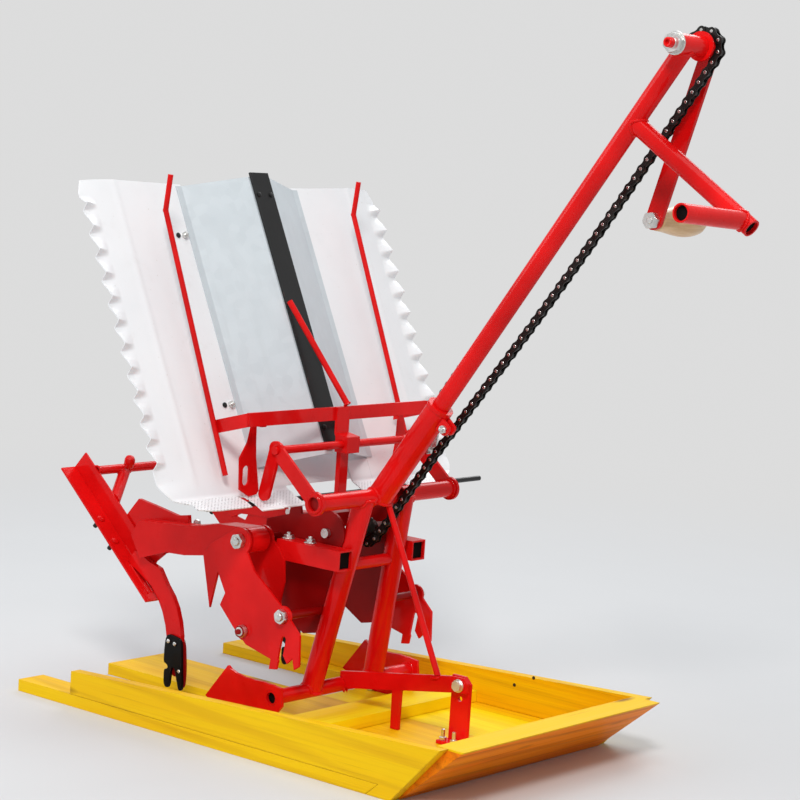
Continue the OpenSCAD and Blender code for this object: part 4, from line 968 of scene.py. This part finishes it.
class TRANSPLANTER_OT_claws(bpy.types.Operator):
    """Cuts the black claws with rounded tines and a notch, and the red pushers behind them"""
    bl_idname = "transplanter.claws"
    bl_label = "Claws"

    @staticmethod
    def cut(name, outlines, near, far, ease, finish, *given):
        """Each outline in x and z is rounded by corner cutting: every pass puts two points on each
        edge, at a quarter and at three quarters of it. The slab between its copies at two
        distances from the middle stands on both sides of the machine."""
        shape = Shape()
        for outline in outlines:
            ring = np.asarray(outline, float)
            for _ in range(2):
                ahead = np.roll(ring, -1, 0)
                ring = np.stack([0.75 * ring + 0.25 * ahead, 0.25 * ring + 0.75 * ahead], 1).reshape(-1, 2)
            many = len(ring)
            for side in (-1, 1):
                caps = np.arange(2 * many).reshape(2, many) + shape.count
                slab = [np.insert(ring, 1, side * y, axis=1) for y in (near, far)]
                shape.add(slab, quads(2, many, wrap_cols=True))
                shape.faces += caps.tolist()
        thing = shape.object(name, finish, "planting_arms", *given, smooth=False)
        bevel = thing.modifiers.new("eased edges", "BEVEL")
        bevel.width, bevel.segments = ease / 1000, 2
        bevel.limit_method, bevel.angle_limit = "ANGLE", radians(60)

    def execute(self, context):
        fork = [(-247, 111.5), (-250.6, 104), (-252.4, 93), (-252.8, 78), (-252.4, 67), (-246, 65),
                (-243, 61), (-246, 57.5), (-251, 57), (-251, 46), (-250.6, 35), (-246.5, 29.6),
                (-241, 29.6), (-238.2, 36), (-237.6, 46), (-237, 56), (-235.5, 62), (-230.5, 62.5),
                (-227.5, 57), (-224, 46), (-220.5, 35), (-218, 29.6), (-212.6, 30.4), (-211.6, 38),
                (-214.2, 60), (-216, 86), (-218.5, 107), (-232, 110)]
        self.cut("claw_forks", [fork], 129.3, 134.1, 0.5, "claw", "black_steel", "claws")
        pusher = [(-241, 49), (-226, 47), (-223, 60), (-222, 108), (-242, 108), (-240, 60)]
        tail = [(-217, 33), (-210.5, 35), (-209.8, 60), (-211.5, 80), (-214.5, 104), (-222, 104),
                (-218, 60)]
        # the pushers take the darker red of painted shade, for where they sit in the shade behind the claws
        self.cut("claw_pushers", [pusher, tail], 126.2, 129.2, 0.3, "painted_shade_red", "red_steel")
        return {"FINISHED"}


class TRANSPLANTER_OT_studio(bpy.types.Operator):
    """Sets the floor, soft lamps, world and the camera"""
    bl_idname = "transplanter.studio"
    bl_label = "Studio"

    def execute(self, context):
        scene = context.scene
        self.floor(tuple(scene.transplanter_colours.floor))
        self.world(scene)
        for name, at, aim, size, power, tint in (
                ("key", (2.2, -3.4, 4.2), (0, 0, 0.45), 1.3, 150, (1, 0.985, 0.96)),
                ("fill", (-3.6, -2.6, 2.6), (0, 0, 0.4), 3, 62, (0.95, 0.97, 1)),
                ("back", (-1.5, 3.6, 3.6), (0, 0, 0.5), 2.6, 70, (0.96, 0.98, 1)),
                ("top", (0.2, 0, 4.6), (0, 0, 0), 3.2, 55, (1, 1, 1))):
            data = bpy.data.lights.new(name, "AREA")
            data.shape, data.size, data.energy, data.color = "DISK", size, power, tint
            back = unit(np.subtract(at, aim))
            self.stand(name, data, *square_axes(back), back, at).visible_camera = False
        scene.camera = self.camera()
        scene.view_settings.view_transform = "Standard"
        return {"FINISHED"}

    @staticmethod
    def stand(name, data, right, up, back, at):
        """A lamp or camera at a place, facing away from its back."""
        thing = bpy.data.objects.new(name, data)
        bpy.context.scene.collection.objects.link(thing)
        thing.matrix_world = Matrix([[right[i], up[i], back[i], at[i]] for i in range(3)] + [[0, 0, 0, 1]])
        return thing

    @staticmethod
    def floor(tone):
        """A plane that fades into the backdrop's white with the distance from the middle, for the
        camera and for reflections, and stays a lit floor for all other light."""
        f = Finish("studio_floor")
        base = f.mix(f.remap(f.noise(3, 3, 0.6), 0.3, 0.7), shade(tone, 0.985), tone)
        lit = f.shader(base, 0.9, specular=0.1)
        glow = f.node("Emission", {0: WHITE, 1: BACKDROP})
        far = f.node("VectorMath", {0: f.where}, "Value", operation="LENGTH")
        fade = f.remap(far, 0.9, 3.2, interpolation_type="SMOOTHERSTEP")
        rays = f.node("LightPath", output="Is Camera Ray")
        seen = rays + rays.other("Is Glossy Ray") + rays.other("Is Transmission Ray")
        pick = seen.maths("MINIMUM", seen * fade, 1)
        FINISHES["floor"] = f.shown(f.node("MixShader", {0: pick, 1: lit, 2: glow}))
        grid = np.array([(x, y, 0) for x in (-40000, 40000) for y in (-40000, 40000)])
        ground = Shape().add(grid, quads(2, 2)[:, ::-1])
        ground.object("studio_floor", "floor", smooth=False, weld=False)

    @staticmethod
    def world(scene):
        """White where the camera looks past the floor, and in reflections; softer for lighting."""
        scene.world = bpy.data.worlds.new("studio_world")
        w = Nodes(scene.world)
        rays = w.node("LightPath", output="Is Camera Ray")
        seen = rays.maths("MAXIMUM", rays, rays.other("Is Glossy Ray"))
        seen = rays.maths("MAXIMUM", seen, rays.other("Is Transmission Ray"))
        sky = w.node("Background", {0: (0.93, 0.96, 1, 1), 1: 0.42})
        white = w.node("Background", {0: WHITE, 1: BACKDROP})
        w.node("OutputWorld", {0: w.node("MixShader", {0: seen, 1: sky, 2: white})})

    def camera(self):
        """The photograph's view: bearing, dip and roll in degrees, place in metres."""
        bearing, dip, roll = (radians(v) for v in (39.27, 6.43, 3.81))
        back = np.array([sin(bearing) * cos(dip), -cos(bearing) * cos(dip), sin(dip)])
        right = np.array([cos(bearing), sin(bearing), 0])
        up = np.cross(back, right)
        c, s = cos(roll), sin(roll)
        data = bpy.data.cameras.new("photo_camera")
        data.lens, data.sensor_width, data.sensor_fit, data.clip_end = 106.55, 36, "HORIZONTAL", 100
        return self.stand("photo_camera", data, c * right + s * up, c * up - s * right, back,
                          (2.2260, -2.6431, 0.8843))


class TRANSPLANTER_PT_panel(bpy.types.Panel):
    """Lists the steps that dress the transplanter"""
    bl_label = "Transplanter"
    bl_idname = "TRANSPLANTER_PT_panel"
    bl_space_type = "VIEW_3D"
    bl_region_type = "UI"
    bl_category = "Transplanter"

    def draw(self, context):
        colours, sizes = context.scene.transplanter_colours, context.scene.transplanter_sizes
        for name in ("red", "yellow", "floor"):
            self.layout.prop(colours, name)
        for name in ("weld", "pleat", "pleats"):
            self.layout.prop(sizes, name)
        for step in STEPS:
            self.layout.operator(step.bl_idname)


STEPS = (TRANSPLANTER_OT_finishes, TRANSPLANTER_OT_trays, TRANSPLANTER_OT_sill, TRANSPLANTER_OT_chain,
         TRANSPLANTER_OT_fasteners, TRANSPLANTER_OT_welds, TRANSPLANTER_OT_trim, TRANSPLANTER_OT_claws,
         TRANSPLANTER_OT_studio)
CLASSES = (TransplanterColours, TransplanterSizes) + STEPS + (TRANSPLANTER_PT_panel,)


def register():
    for kind in CLASSES:
        bpy.utils.register_class(kind)
    bpy.types.Scene.transplanter_colours = PointerProperty(type=TransplanterColours)
    bpy.types.Scene.transplanter_sizes = PointerProperty(type=TransplanterSizes)


def unregister():
    del bpy.types.Scene.transplanter_sizes
    del bpy.types.Scene.transplanter_colours
    for kind in reversed(CLASSES):
        bpy.utils.unregister_class(kind)


def main():
    register()
    bpy.ops.transplanter.finishes()
    bpy.ops.transplanter.trays()
    bpy.ops.transplanter.sill()
    bpy.ops.transplanter.chain()
    bpy.ops.transplanter.fasteners()
    bpy.ops.transplanter.welds()
    bpy.ops.transplanter.trim()
    bpy.ops.transplanter.claws()
    bpy.ops.transplanter.studio()


if __name__ == "__main__":
    main()
